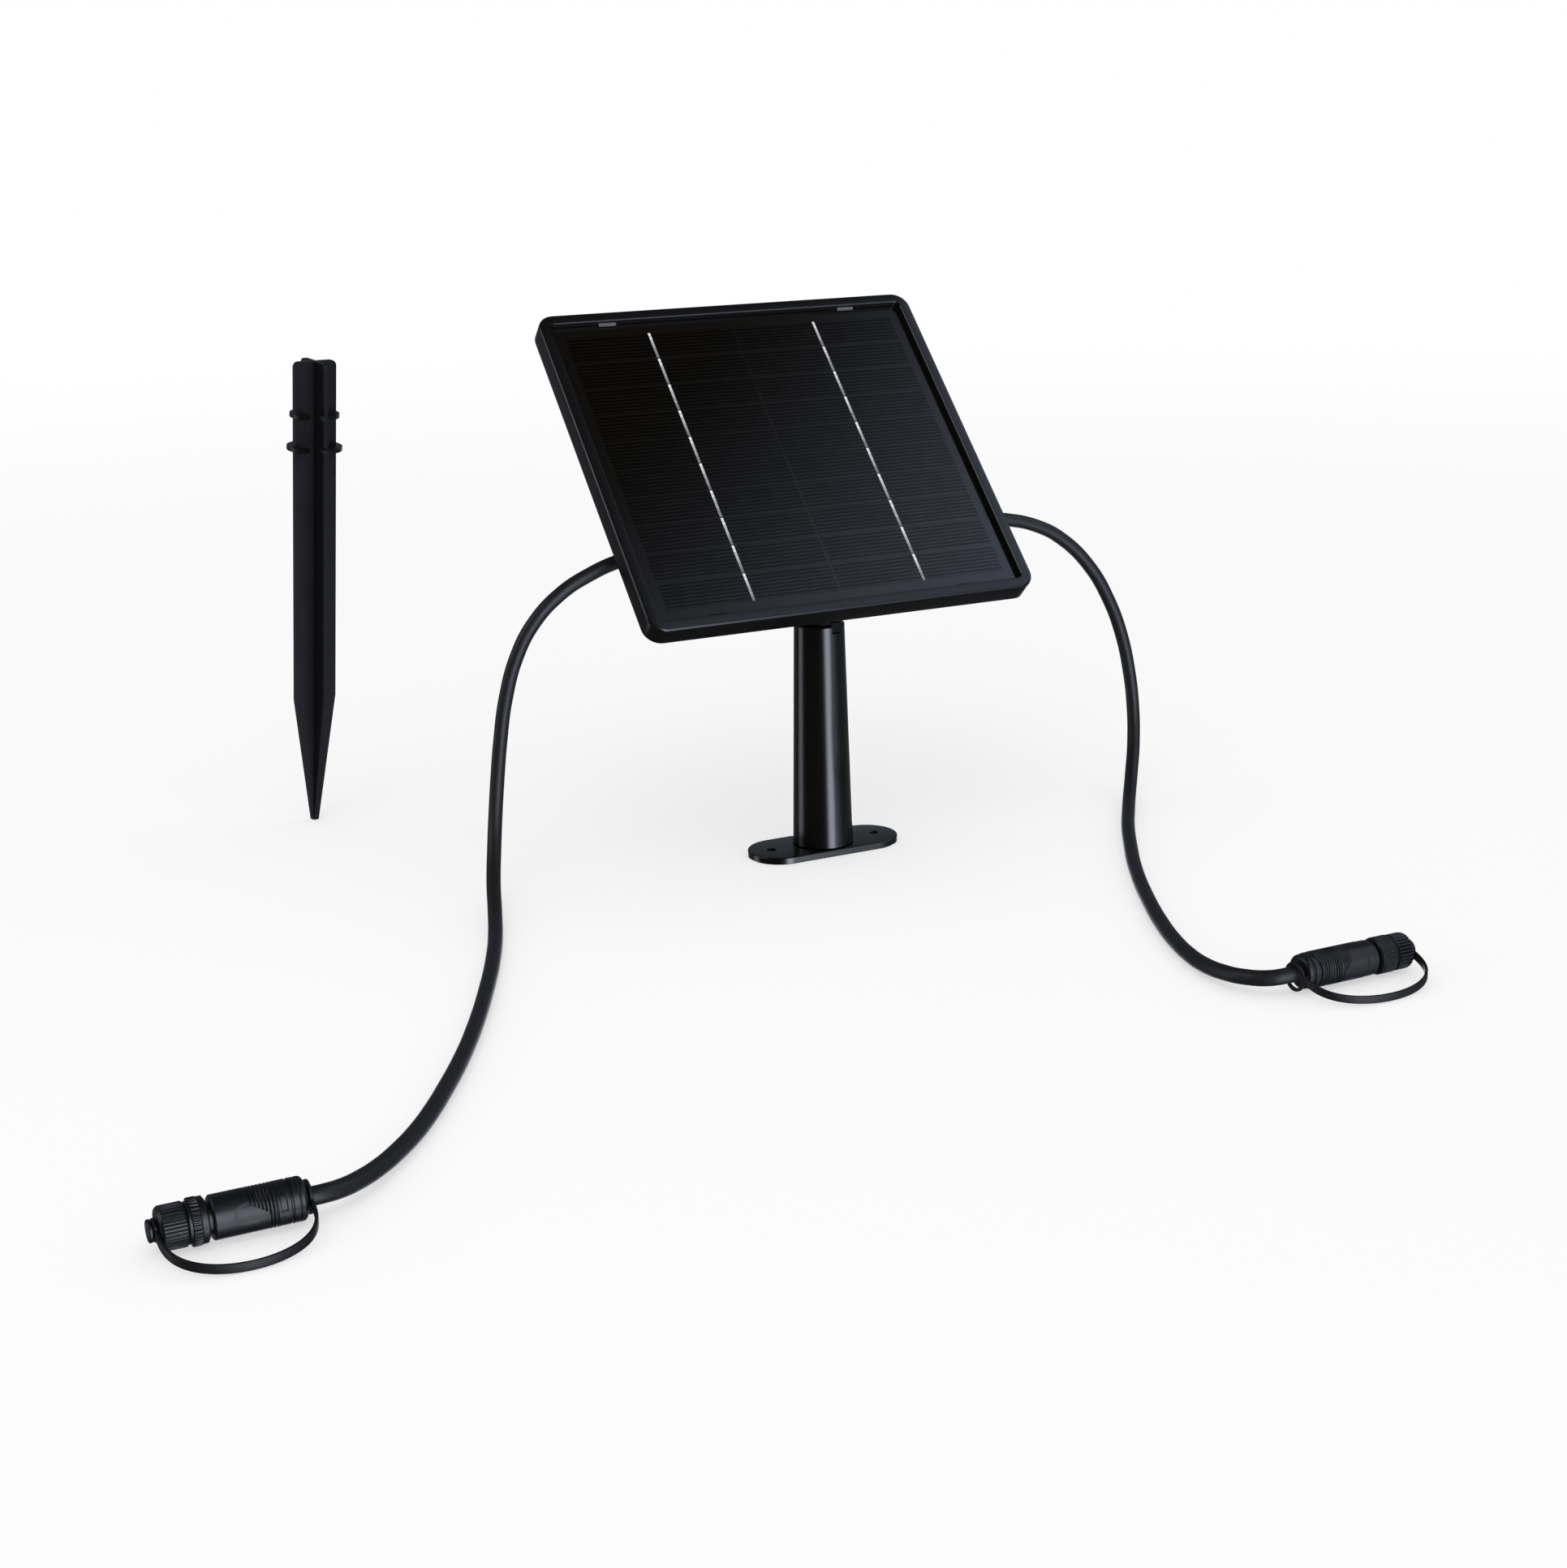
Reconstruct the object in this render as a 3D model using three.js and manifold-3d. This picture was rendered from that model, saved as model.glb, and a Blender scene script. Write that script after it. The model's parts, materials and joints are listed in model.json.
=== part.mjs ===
// Garden solar power unit: a framed solar panel with a rear battery housing, tilting on a tapered post
// with a screw-down foot, two outlet cords that end in capped plugs, and a separate ground spike.
// Units are millimetres, +Z is up and the panel faces -Y. The origin is the centre of the foot's underside.

import * as THREE from "three";
import { mergeVertices } from "three/addons/utils/BufferGeometryUtils.js";
import Module from "manifold-3d";

const wasm = await Module();
wasm.setup();

// ---------------------------------------------------------------- driving dimensions

const GAP = 0.3; // between pieces that rest on each other
const FIT = 0.3; // radial play of a piece in its hole
const OVERCUT = 1; // how far a cutting tool runs past the face that it opens
const FUSE = 0.1; // how far two shapes of one piece reach into each other

// Panel
const TILT_DEG = 45;
const PANEL_WIDTH = 180;
const PANEL_HEIGHT = 164.5;
const PANEL_ABOVE_HINGE = 32.5; // from the hinge line up the slope to the middle of the panel
const FRAME_CORNER = 7.5;
const FRAME_EDGE_ROUND = 1.2;
const POCKET_CORNER = 1;
const WINDOW_CORNER = 2;
const RIM_WIDTH = 5;
const RIM_DROP = 3; // how far the laminate lies below the rim
const LEDGE_WIDTH = 6;
const LEDGE_THICKNESS = 1.6;
const LAMINATE_THICKNESS = 2.1;
const COVER_THICKNESS = 2.2;
const CLIP_LENGTH = 8;
const CLIP_REACH = 1.2;
const CLIP_THICKNESS = 1.2;
const CLIP_OFFSET = 58; // from the middle of the rim to the middle of a clip

// Tilt hinge
const HINGE_BACK = 18; // behind the post's axis
const HINGE_RISE = 33.3; // above the top of the post
const KNUCKLE_RADIUS = 6.5;
const KNUCKLE_WIDTH = 13.4;
const KNUCKLE_AIR = 0.8; // between the knuckle and the bracket's base
const BRACKET_BASE = 1.9;
const BRACKET_BELOW = 17; // how far the bracket's base runs below the hinge line
const LUG_THICKNESS = 3.5;
const LUG_RADIUS = 6.8;
const BOLT_RADIUS = 2.4;
const BOLT_HEAD_RADIUS = 4.3;
const BOLT_HEAD_HEIGHT = 3.2;
const BOLT_HEAD_CHAMFER = 1;
const HEX_NUT_RADIUS = 4.6;
const HEX_NUT_HEIGHT = 3.6;

// Rear housing
const HOUSING_WIDTH = 94;
const HOUSING_BELOW = 19.5; // below the hinge line
const HOUSING_ABOVE = 66.5; // above the hinge line
const HOUSING_WALL = 2.2;
const HOUSING_CORNER = 6;
const HOUSING_DEPTH = 21; // wall length behind the cover
const HINGE_BAY_AIR = 1.6; // between the nut and the side of the hinge bay
const HINGE_BAY_TOP = 9.5; // top of the hinge bay above the hinge line
const LID_THICKNESS = 2.2;
const LID_EDGE_ROUND = 0.8;
const SEAL_THICKNESS = 0.8;
const SEAL_WIDTH = 1;
const SEAL_INSET = 0.6;
const BOSS_RADIUS = 3.4;
const BOSS_INSET = 6.4; // from the outer face of a wall to a boss's axis

// Screws
const SCREW_SIDES = 8;
const HEAD_LAND = 0.2; // upright edge of a countersunk head
const LID_SCREW = { head: 2.9, headHeight: 1.5, shank: 1.3, length: 10 };
const COVER_SCREW = { head: 2.3, headHeight: 1.1, shank: 1, length: 3.6 };
const BRACKET_SCREW = { head: 2.6, headHeight: 1.6, shank: 1.2, length: 3.8 };
const BOARD_SCREW = { head: 2.2, headHeight: 1.2, shank: 0.9, length: 6 };

// Electrical pieces in the housing
const CELL_RADIUS = 9.15;
const CELL_LENGTH = 65;
const CELL_CHAMFER = 1.2;
const CELL_TERMINAL_RADIUS = 3;
const CELL_TERMINAL_HEIGHT = 0.8;
const CELL_FROM_TOP = 14; // from the housing's top wall to the cell's axis
const CELL_ABOVE_COVER = 11.2; // from the cover's rear face to the cell's axis
const CRADLE_THICKNESS = 2.4;
const CRADLE_OFFSET = 21;
const BOARD_LENGTH = 64;
const BOARD_WIDTH = 26;
const BOARD_THICKNESS = 1.6;
const BOARD_MIDDLE = 27; // above the hinge line
const STANDOFF_HEIGHT = 11.5;
const STANDOFF_RADIUS = 2.6;
const STANDOFF_OFFSET = 28;
const SWITCH_SIDE = 6;
const BUTTON_RADIUS = 4.7;
const BUTTON_PROUD = 1.1;
const BUTTON_CHAMFER = 0.8;
const BUTTON_TRAVEL = 1;
const BUTTON_FLANGE = 1.4; // how far the flange stands out round the button
const BUTTON_FLANGE_THICKNESS = 1;

// Cord glands
const GLAND_SHANK_RADIUS = 4;
const GLAND_SHANK_LENGTH = 5;
const GLAND_FLANGE_RADIUS = 7;
const GLAND_FLANGE_THICKNESS = 2.5;
const GLAND_THREAD_RADIUS = 4.7;
const GLAND_THREAD_LENGTH = 5.2;
const GLAND_NUT_RADIUS = 6.6;
const GLAND_NUT_LENGTH = 11.9;
const GLAND_NUT_TAPER = 1.3;
const GLAND_NUT_LIP = 1;

// Post, neck and foot
const POST_BOTTOM_RADIUS = 13.3;
const POST_TOP_RADIUS = 11;
const POST_TOP = 101.2;
const POST_WALL = 2.3;
const POST_RIM_ROUND = 1.3;
const KEYWAY_START = 0.6; // sideways from the post's axis
const KEYWAY_WIDTH = 5.4;
const KEYWAY_DEPTH = 3.6;
const NECK_PLUG_LENGTH = 20;
const NECK_PLUG_CHAMFER = 1.2;
const NECK_COLLAR_HEIGHT = 1.5;
const NECK_COLLAR_RADIUS = 9.4;
const NECK_FRONT = 7; // from the post's axis to the arm's front edge
const NECK_REAR = 7.5;
const FOOT_LENGTH = 70.2;
const FOOT_WIDTH = 28.6;
const FOOT_THICKNESS = 3;
const FOOT_EDGE_ROUND = 0.7;
const FOOT_HOLE_SPACING = 50;
const FOOT_HOLE_RADIUS = 2;
const SPIGOT_HEIGHT = 17;
const SPIGOT_WALL = 2;
const SPIGOT_CHAMFER = 0.8;

// Ground spike
const SPIKE_PLACE = [-184.2, 157.2];
const SPIKE_LEAN_DEG = 5.8;
const SPIKE_LEAN_HEADING_DEG = -58;
const SPIKE_TURN_DEG = 14.1; // about its own axis
const SPIKE_LENGTH = 212;
const SPIKE_FIN_REACH = 10.2;
const SPIKE_FIN_THICKNESS = 2.1;
const SPIKE_FIN_CORNER = 2.5;
const SPIKE_TAPER_LENGTH = 59;
const SPIKE_TIP_HALF = 1.6;
const SOCKET_PLAY = 0.2; // of the upper collar in the foot end of the post
const UPPER_COLLAR_FROM_TOP = 23.5;
const LOWER_COLLAR_FROM_TOP = 38;
const LOWER_COLLAR_STEP = 1.3; // how far the lower collar stands out past the upper one
const COLLAR_THICKNESS = 1.8;
const COLLAR_REACH = 4.6; // from a collar's inner edge to its outer edge
const COLLAR_GAP_START_DEG = 43.6;
const COLLAR_GAP_DEG = 36;

// Cords
const CORD_DIAMETER = 6;
const CORD_SIDES = 8;
const CORD_STEPS = 60;
const CORD_SOCKET_DEPTH = 2;
const LEFT_CORD = [
  [-60.3, 18, 134.5], [-72, 18, 134.5], [-84, 18, 133], [-96, 18, 129.2], [-110, 18, 122.2],
  [-122.5, 18, 111], [-130.4, 18, 98.2], [-136.2, 18, 81], [-139.6, 18, 63], [-142.2, 17.2, 46],
  [-145.2, 13.5, 31.5], [-149, 6, 20.5], [-154, -6, 12], [-160.2, -24, 6], [-167.2, -44, 3.6],
  [-174.5, -63, 3.2], [-190, -98.5, 3.2], [-209.5, -138.5, 3.2], [-222.6, -162.5, 3.2],
  [-232.4, -178.8, 3.2], [-242.4, -194.6, 3.2], [-252.6, -209, 3.3], [-262.4, -221.2, 3.8],
  [-271.6, -231.4, 4.6], [-280.3, -239.4, 5.6], [-287.2, -244.2, 6.5], [-293.8, -246.6, 7.2],
  [-300.9, -246.8, 7.4],
];
const RIGHT_CORD = [
  [60.3, 18, 134.5], [75, 18, 134.5], [90, 18, 134.1], [105, 18, 132.2], [119.5, 18, 128.2],
  [133, 18, 121], [148.5, 18, 106.5], [159.2, 18, 90], [166.5, 18, 73], [171, 17.6, 55],
  [171.8, 15, 38.5], [167.8, 8, 23.5], [159.8, -2.5, 12.2], [150, -15.5, 5.6], [139, -31, 3.4],
  [127, -48.5, 3.2], [112, -72.5, 3.2], [97, -98, 3.2], [79.5, -132, 3.2], [64.8, -165, 3.2],
  [58.9, -181, 3.2], [54.6, -195.5, 3.4], [52, -209, 3.9], [51.8, -221, 4.8],
  [54.3, -231.3, 5.8], [59.6, -238.2, 6.6], [66.4, -240.6, 7.2], [73.1, -240.4, 7.4],
];

// Plugs
const PLUG_RADIUS = 6.8;
const PLUG_GROOVE_DEPTH = 0.5;
const PLUG_GROOVE_WIDTH = 0.8;
const PLUG_GROOVES = [4.2, 7.6];
const PLUG_CHAMFER = 1.4;
const PLUG_NOSE = 0.8; // chamfer at the body's front end
const PLUG_WAIST = 1.3; // open length between the body and the coupling nut
const SPIGOT_RADIUS = 4.9; // of the plug's threaded front end
const CONTACT_BORE_RADIUS = 2.8;
const CONTACT_BORE_DEPTH = 8;
const INSERT_LENGTH = 5;
const INSERT_FLOOR = 1; // under the pins
const PIN_RADIUS = 0.5;
const PIN_LENGTH = 6.5;
const PIN_POINT = 0.4;
const PIN_SPACING = 2.4;
const RING_SECTION = 0.5; // radius of the sealing ring's cord
const RING_FROM_END = 1.8; // from the spigot's end to the middle of the ring
const CAP_RADIUS = 6.8;
const CAP_END_THICKNESS = 1.6;
const RIB_DEPTH = 0.45;
const CAP_NECK_RADIUS = 1.6;
const CAP_BUTTON_RADIUS = 3.5;
const CAP_BUTTON_THICKNESS = 1.2;
const CAP_BUTTON_ROUND = 0.5;
const CAP_CROWN = 0.6; // the plain end past the cap's ribs
const NUT_CHAMFER = 1.2;
const STRAP_THICKNESS = 1.1;
const STRAP_WIDTH = 3;
const STRAP_STEPS = 16;
const STRAP_REACH = 24.5; // from the plug's axis to the outside of the loop
const STRAP_EYE_WALL = 1.7;
const STRAP_FROM_BODY = 1.2; // from the body's rear face to the middle of the rear eye
const CORD_EYE_PLAY = 0.6;
const PLUG_AXIS_HEIGHT = 7.4;
const LEFT_PLUG = {
  side: "left", rear: [-299.2, -246.8], heading: 180, strapSide: 1, bodyLength: 27.9, nutLength: 5.9,
  nutRadius: 7.3, nutRibs: 14, nutFlangeShare: 0.45, capLength: 7.9, capRibs: 20,
};
const RIGHT_PLUG = {
  side: "right", rear: [71.4, -240.4], heading: 0, strapSide: -1, bodyLength: 32, nutLength: 7.6,
  nutRadius: 7, nutRibs: 20, nutFlangeShare: 0.15, capLength: 7.2, capRibs: 14,
};

// ---------------------------------------------------------------- sizes that follow

const FRAME_DEPTH = RIM_DROP + LAMINATE_THICKNESS + GAP + LEDGE_THICKNESS + GAP + COVER_THICKNESS;
const COVER_REAR = KNUCKLE_RADIUS + KNUCKLE_AIR + BRACKET_BASE + GAP; // from the hinge axis, as all below
const FRAME_FRONT = COVER_REAR + FRAME_DEPTH;
const COVER_FRONT = COVER_REAR + COVER_THICKNESS;
const LEDGE_REAR = COVER_FRONT + GAP;
const LEDGE_FRONT = LEDGE_REAR + LEDGE_THICKNESS;
const LAMINATE_REAR = LEDGE_FRONT + GAP;
const LAMINATE_FRONT = LAMINATE_REAR + LAMINATE_THICKNESS;
const OPENING_WIDTH = PANEL_WIDTH - 2 * RIM_WIDTH;
const OPENING_HEIGHT = PANEL_HEIGHT - 2 * RIM_WIDTH;
const HINGE_HEIGHT = POST_TOP + HINGE_RISE;

const LUG_INNER = KNUCKLE_WIDTH / 2 + GAP;
const LUG_OUTER = LUG_INNER + LUG_THICKNESS;
const BOLT_HEAD_SEAT = LUG_OUTER + GAP;
const HINGE_BAY_HALF = BOLT_HEAD_SEAT + Math.max(HEX_NUT_HEIGHT, BOLT_HEAD_HEIGHT) + HINGE_BAY_AIR;
const BRACKET_HALF = HINGE_BAY_HALF - GAP;

const WALL_END = COVER_REAR - HOUSING_DEPTH;
const SEAL_REAR = WALL_END - GAP - SEAL_THICKNESS;
const LID_INNER = SEAL_REAR - GAP;
const LID_OUTER = LID_INNER - LID_THICKNESS;
const BOSS_X = HOUSING_WIDTH / 2 - BOSS_INSET;
const BOSS_PLACES = [
  [-BOSS_X, HOUSING_ABOVE - BOSS_INSET],
  [BOSS_X, HOUSING_ABOVE - BOSS_INSET],
  [-BOSS_X, BOSS_INSET - HOUSING_BELOW],
  [BOSS_X, BOSS_INSET - HOUSING_BELOW],
];
const COVER_WIDTH = OPENING_WIDTH - 2 * GAP;
const COVER_HEIGHT = OPENING_HEIGHT - 2 * GAP;
const LEDGE_MIDDLE_X = (OPENING_WIDTH - LEDGE_WIDTH) / 2;
const LEDGE_MIDDLE_Y = (OPENING_HEIGHT - LEDGE_WIDTH) / 2;
const COVER_SCREW_PLACES = [
  [-LEDGE_MIDDLE_X, LEDGE_MIDDLE_Y * 0.8],
  [LEDGE_MIDDLE_X, LEDGE_MIDDLE_Y * 0.8],
  [-LEDGE_MIDDLE_X, -LEDGE_MIDDLE_Y * 0.8],
  [LEDGE_MIDDLE_X, -LEDGE_MIDDLE_Y * 0.8],
  [0, LEDGE_MIDDLE_Y],
  [0, -LEDGE_MIDDLE_Y],
];
const BRACKET_SCREW_X = (LUG_OUTER + BRACKET_HALF) / 2;
const BRACKET_SCREW_Y = BRACKET_SCREW.head + GAP - BRACKET_BELOW;

const CELL_Y = HOUSING_ABOVE - CELL_FROM_TOP;
const CELL_Z = COVER_REAR - CELL_ABOVE_COVER;
const BOARD_FRONT = COVER_REAR - STANDOFF_HEIGHT - GAP;
const BOARD_REAR = BOARD_FRONT - BOARD_THICKNESS;
const BUTTON_FLANGE_REAR = LID_INNER + GAP;
const BUTTON_HOLE_RADIUS = BUTTON_RADIUS + FIT;
const SWITCH_TOP = BUTTON_FLANGE_REAR + BUTTON_FLANGE_THICKNESS + BUTTON_TRAVEL + GAP;

const GLAND_WALL = HOUSING_WIDTH / 2;
const CORD_RADIUS = CORD_DIAMETER / 2;
const CORD_SOCKET_RADIUS = CORD_RADIUS + FIT;

const POST_BASE = FOOT_THICKNESS + GAP;
const SPIGOT_TOP = FOOT_THICKNESS + SPIGOT_HEIGHT;
const SPIGOT_OUTER = postRadius(SPIGOT_TOP) - POST_WALL - FIT;
const NECK_PLUG_RADIUS = POST_TOP_RADIUS - POST_WALL - FIT;
const NECK_SHOULDER = POST_TOP + GAP;
const UPPER_COLLAR_RADIUS = POST_BOTTOM_RADIUS - POST_WALL - SOCKET_PLAY;

// ---------------------------------------------------------------- finishes

function finish(color, roughness, metalness = 0) {
  return new THREE.MeshStandardMaterial({ color, roughness, metalness });
}

const frameBlack = finish(0x14161a, 0.32);
const postBlack = finish(0x0c0d0f, 0.22);
const housingBlack = finish(0x17191c, 0.5);
const rubberBlack = finish(0x1d1f22, 0.75);
const plugBlack = finish(0x191b1e, 0.6);
const laminateBlue = finish(0x0e1118, 0.2);
const zincSteel = finish(0xb9bcc0, 0.35, 1);
const boardGreen = finish(0x1f5a3a, 0.5);
const cellSleeve = finish(0x2b4f86, 0.45);
const goldPin = finish(0xc9a24a, 0.3, 1);
const insertGrey = finish(0x53575c, 0.6);

// ---------------------------------------------------------------- making shapes

/** A closed mesh as a solid that can be joined and cut. */
function solid(geometry) {
  const bare = geometry.clone();
  bare.deleteAttribute("normal");
  bare.deleteAttribute("uv");
  const merged = mergeVertices(bare, 1e-4);
  const corners = merged.index.array;
  const triangles = [];
  for (let i = 0; i < corners.length; i += 3) {
    const [a, b, c] = [corners[i], corners[i + 1], corners[i + 2]];
    if (a !== b && b !== c && c !== a) {
      triangles.push(a, b, c);
    }
  }
  const vertProperties = Float32Array.from(merged.attributes.position.array);
  const triVerts = Uint32Array.from(triangles);
  return new wasm.Manifold(new wasm.Mesh({ numProp: 3, vertProperties, triVerts }));
}

/** A solid's surface as a geometry. */
function surface(shape) {
  const mesh = shape.getMesh();
  const geometry = new THREE.BufferGeometry();
  geometry.setAttribute("position", new THREE.BufferAttribute(mesh.vertProperties, mesh.numProp));
  geometry.setIndex(new THREE.BufferAttribute(mesh.triVerts, 1));
  geometry.computeVertexNormals();
  return geometry;
}

function joined(first, ...others) {
  return others.reduce((whole, piece) => whole.add(piece), first);
}

function cut(whole, ...tools) {
  return tools.reduce((rest, tool) => rest.subtract(tool), whole);
}

/** A box between two corners. */
function block([x0, y0, z0], [x1, y1, z1]) {
  const geometry = new THREE.BoxGeometry(x1 - x0, y1 - y0, z1 - z0);
  return geometry.translate((x0 + x1) / 2, (y0 + y1) / 2, (z0 + z1) / 2);
}

/** A flat outline between two heights, with its edges rounded by a bevel where one is given. */
function prism(outline, bottom, top, { round = 0, curveSegments = 6 } = {}) {
  const settings = { depth: top - bottom - 2 * round, curveSegments, bevelEnabled: round > 0 };
  if (round > 0) {
    const bevel = { bevelThickness: round, bevelSize: round, bevelOffset: -round, bevelSegments: 2 };
    Object.assign(settings, bevel);
  }
  return new THREE.ExtrudeGeometry(outline, settings).translate(0, 0, bottom + round);
}

/** A side outline drawn in Y and Z, extruded along X from one side to the other. */
function slab(outline, from, to, curveSegments = 8) {
  const settings = { depth: to - from, bevelEnabled: false, curveSegments };
  const geometry = new THREE.ExtrudeGeometry(outline, settings);
  const [x, y, z] = [0, 1, 2].map((axis) => new THREE.Vector3().setComponent(axis, 1));
  geometry.applyMatrix4(new THREE.Matrix4().makeBasis(y, z, x));
  return geometry.translate(from, 0, 0);
}

/** A turned shape: its profile is a list of [radius, height] up the outside and down the inside. */
function turned(profile, segments = 24) {
  const points = profile.map(([radius, height]) => new THREE.Vector2(radius, height));
  return new THREE.LatheGeometry(points, segments).rotateX(Math.PI / 2);
}

/** A turned shape whose heights run along +X. */
function turnedAlongX(profile, segments = 24) {
  return turned(profile, segments).rotateY(Math.PI / 2);
}

/** A plain round bar along Z. */
function bar(radius, bottom, top, segments = 16) {
  return turned([[0, bottom], [radius, bottom], [radius, top], [0, top]], segments);
}

function barAlongX(radius, from, to, segments = 16) {
  return bar(radius, from, to, segments).rotateY(Math.PI / 2);
}

function ringOutline(outer, inner) {
  const outline = new THREE.Shape().absarc(0, 0, outer, 0, 2 * Math.PI);
  outline.holes.push(new THREE.Path().absarc(0, 0, inner, 0, 2 * Math.PI));
  return outline;
}

function roundedRectangle(width, height, radius, centreY = 0) {
  const [x, y] = [width / 2, height / 2];
  const outline = new THREE.Shape();
  outline.absarc(x - radius, centreY - y + radius, radius, -Math.PI / 2, 0);
  outline.absarc(x - radius, centreY + y - radius, radius, 0, Math.PI / 2);
  outline.absarc(radius - x, centreY + y - radius, radius, Math.PI / 2, Math.PI);
  outline.absarc(radius - x, centreY - y + radius, radius, Math.PI, 1.5 * Math.PI);
  outline.closePath();
  return outline;
}

/** A ribbed round outline: a rib and a groove for each count. */
function ribbedOutline(radius, depth, ribs) {
  const corners = [];
  const rib = [[0, radius - depth], [0.25, radius], [0.6, radius], [0.85, radius - depth]];
  for (let i = 0; i < ribs; i += 1) {
    for (const [share, reach] of rib) {
      const angle = (2 * Math.PI * (i + share)) / ribs;
      corners.push(new THREE.Vector2(reach * Math.cos(angle), reach * Math.sin(angle)));
    }
  }
  return new THREE.Shape(corners);
}

/** A flat band of upright section that follows points; its width stands along Z. */
function ribbon(points, thickness, width) {
  const positions = [];
  points.forEach((point, i) => {
    const before = points[Math.max(i - 1, 0)];
    const after = points[Math.min(i + 1, points.length - 1)];
    const along = after.clone().sub(before).setZ(0).normalize();
    const side = new THREE.Vector3(along.y, -along.x, 0).multiplyScalar(thickness / 2);
    for (const [across, up] of [[1, -1], [1, 1], [-1, 1], [-1, -1]]) {
      positions.push(point.x + across * side.x, point.y + across * side.y, point.z + (up * width) / 2);
    }
  });
  const index = [0, 1, 2, 0, 2, 3];
  for (let i = 0; i < points.length - 1; i += 1) {
    for (let edge = 0; edge < 4; edge += 1) {
      const [a, b] = [4 * i + edge, 4 * i + ((edge + 1) % 4)];
      index.push(a, a + 4, b, b, a + 4, b + 4);
    }
  }
  const last = 4 * (points.length - 1);
  index.push(last, last + 2, last + 1, last, last + 3, last + 2);
  const geometry = new THREE.BufferGeometry();
  geometry.setAttribute("position", new THREE.Float32BufferAttribute(positions, 3));
  geometry.setIndex(index);
  return geometry;
}

function add(group, name, shape, material) {
  const geometry = shape.isBufferGeometry ? shape : surface(shape);
  const mesh = new THREE.Mesh(geometry, material);
  mesh.name = name;
  group.add(mesh);
  return mesh;
}

/** A countersunk screw that points along +Z, with its head's outer face at height 0. */
function countersunkScrew({ head, headHeight, shank, length }) {
  const profile = [[0, 0], [head, 0], [head, HEAD_LAND], [shank, headHeight], [shank, length], [0, length]];
  return turned(profile, SCREW_SIDES);
}

/** A screw that points along +Z, with the seat of its raised head at height 0. */
function panHeadScrew({ head, headHeight, shank, length }) {
  const outline = [[head, -headHeight], [head, 0], [shank, 0], [shank, length]];
  return turned([[0, -headHeight], ...outline, [0, length]], SCREW_SIDES);
}

/** The countersunk hole that a screw of these sizes needs, pointing along +Z from the outer face. */
function countersunkHole({ head, headHeight, shank }, length) {
  const [mouth, pilot] = [head + FIT, shank + FIT];
  const profile = [[0, -OVERCUT], [mouth, -OVERCUT], [mouth, FIT], [pilot, headHeight + FIT]];
  return turned([...profile, [pilot, length], [0, length]], SCREW_SIDES);
}

/** The straight hole that a screw's shank needs, pointing along +Z from the outer face. */
function pilotHole({ shank }, length) {
  return bar(shank + FIT, -OVERCUT, length, SCREW_SIDES);
}

// ---------------------------------------------------------------- panel

function panelFrame() {
  const outer = prism(roundedRectangle(PANEL_WIDTH, PANEL_HEIGHT, FRAME_CORNER), COVER_REAR, FRAME_FRONT, {
    round: FRAME_EDGE_ROUND,
  });
  const opening = roundedRectangle(OPENING_WIDTH, OPENING_HEIGHT, POCKET_CORNER);
  const [windowWidth, windowHeight] = [OPENING_WIDTH - 2 * LEDGE_WIDTH, OPENING_HEIGHT - 2 * LEDGE_WIDTH];
  const window = roundedRectangle(windowWidth, windowHeight, WINDOW_CORNER);
  const frontPocket = prism(opening, LEDGE_FRONT, FRAME_FRONT + OVERCUT, { curveSegments: 3 });
  const rearPocket = prism(opening, COVER_REAR - OVERCUT, LEDGE_REAR, { curveSegments: 3 });
  const windowCut = prism(window, LEDGE_REAR - OVERCUT, LEDGE_FRONT + OVERCUT, { curveSegments: 3 });
  let frame = cut(solid(outer), solid(frontPocket), solid(rearPocket), solid(windowCut));
  const clipBottom = LAMINATE_FRONT + GAP;
  for (const x of [-CLIP_OFFSET, CLIP_OFFSET]) {
    for (const side of [-1, 1]) {
      const edges = [side * (OPENING_HEIGHT / 2 - CLIP_REACH), side * (OPENING_HEIGHT / 2 + RIM_WIDTH / 3)];
      const low = [x - CLIP_LENGTH / 2, Math.min(...edges), clipBottom];
      const high = [x + CLIP_LENGTH / 2, Math.max(...edges), clipBottom + CLIP_THICKNESS];
      frame = frame.add(solid(block(low, high)));
    }
  }
  for (const [x, y] of COVER_SCREW_PLACES) {
    const hole = pilotHole(COVER_SCREW, LEDGE_THICKNESS + OVERCUT).translate(x, y, LEDGE_REAR);
    frame = frame.subtract(solid(hole));
  }
  return frame;
}

function solarLaminate() {
  const outline = roundedRectangle(COVER_WIDTH, COVER_HEIGHT, POCKET_CORNER);
  return prism(outline, LAMINATE_REAR, LAMINATE_FRONT, { curveSegments: 2 });
}

/** The housing's outline seen from behind, with the bay for the hinge open at the bottom. */
function housingOutline(inset) {
  const half = HOUSING_WIDTH / 2 - inset;
  const top = HOUSING_ABOVE - inset;
  const bottom = inset - HOUSING_BELOW;
  const bayHalf = HINGE_BAY_HALF + inset;
  const bayTop = HINGE_BAY_TOP + inset;
  const radius = HOUSING_CORNER - inset;
  const outline = new THREE.Shape();
  outline.moveTo(bayHalf, bayTop);
  outline.lineTo(bayHalf, bottom);
  outline.absarc(half - radius, bottom + radius, radius, -Math.PI / 2, 0);
  outline.absarc(half - radius, top - radius, radius, 0, Math.PI / 2);
  outline.absarc(radius - half, top - radius, radius, Math.PI / 2, Math.PI);
  outline.absarc(radius - half, bottom + radius, radius, Math.PI, 1.5 * Math.PI);
  outline.lineTo(-bayHalf, bottom);
  outline.lineTo(-bayHalf, bayTop);
  outline.closePath();
  return outline;
}

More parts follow.
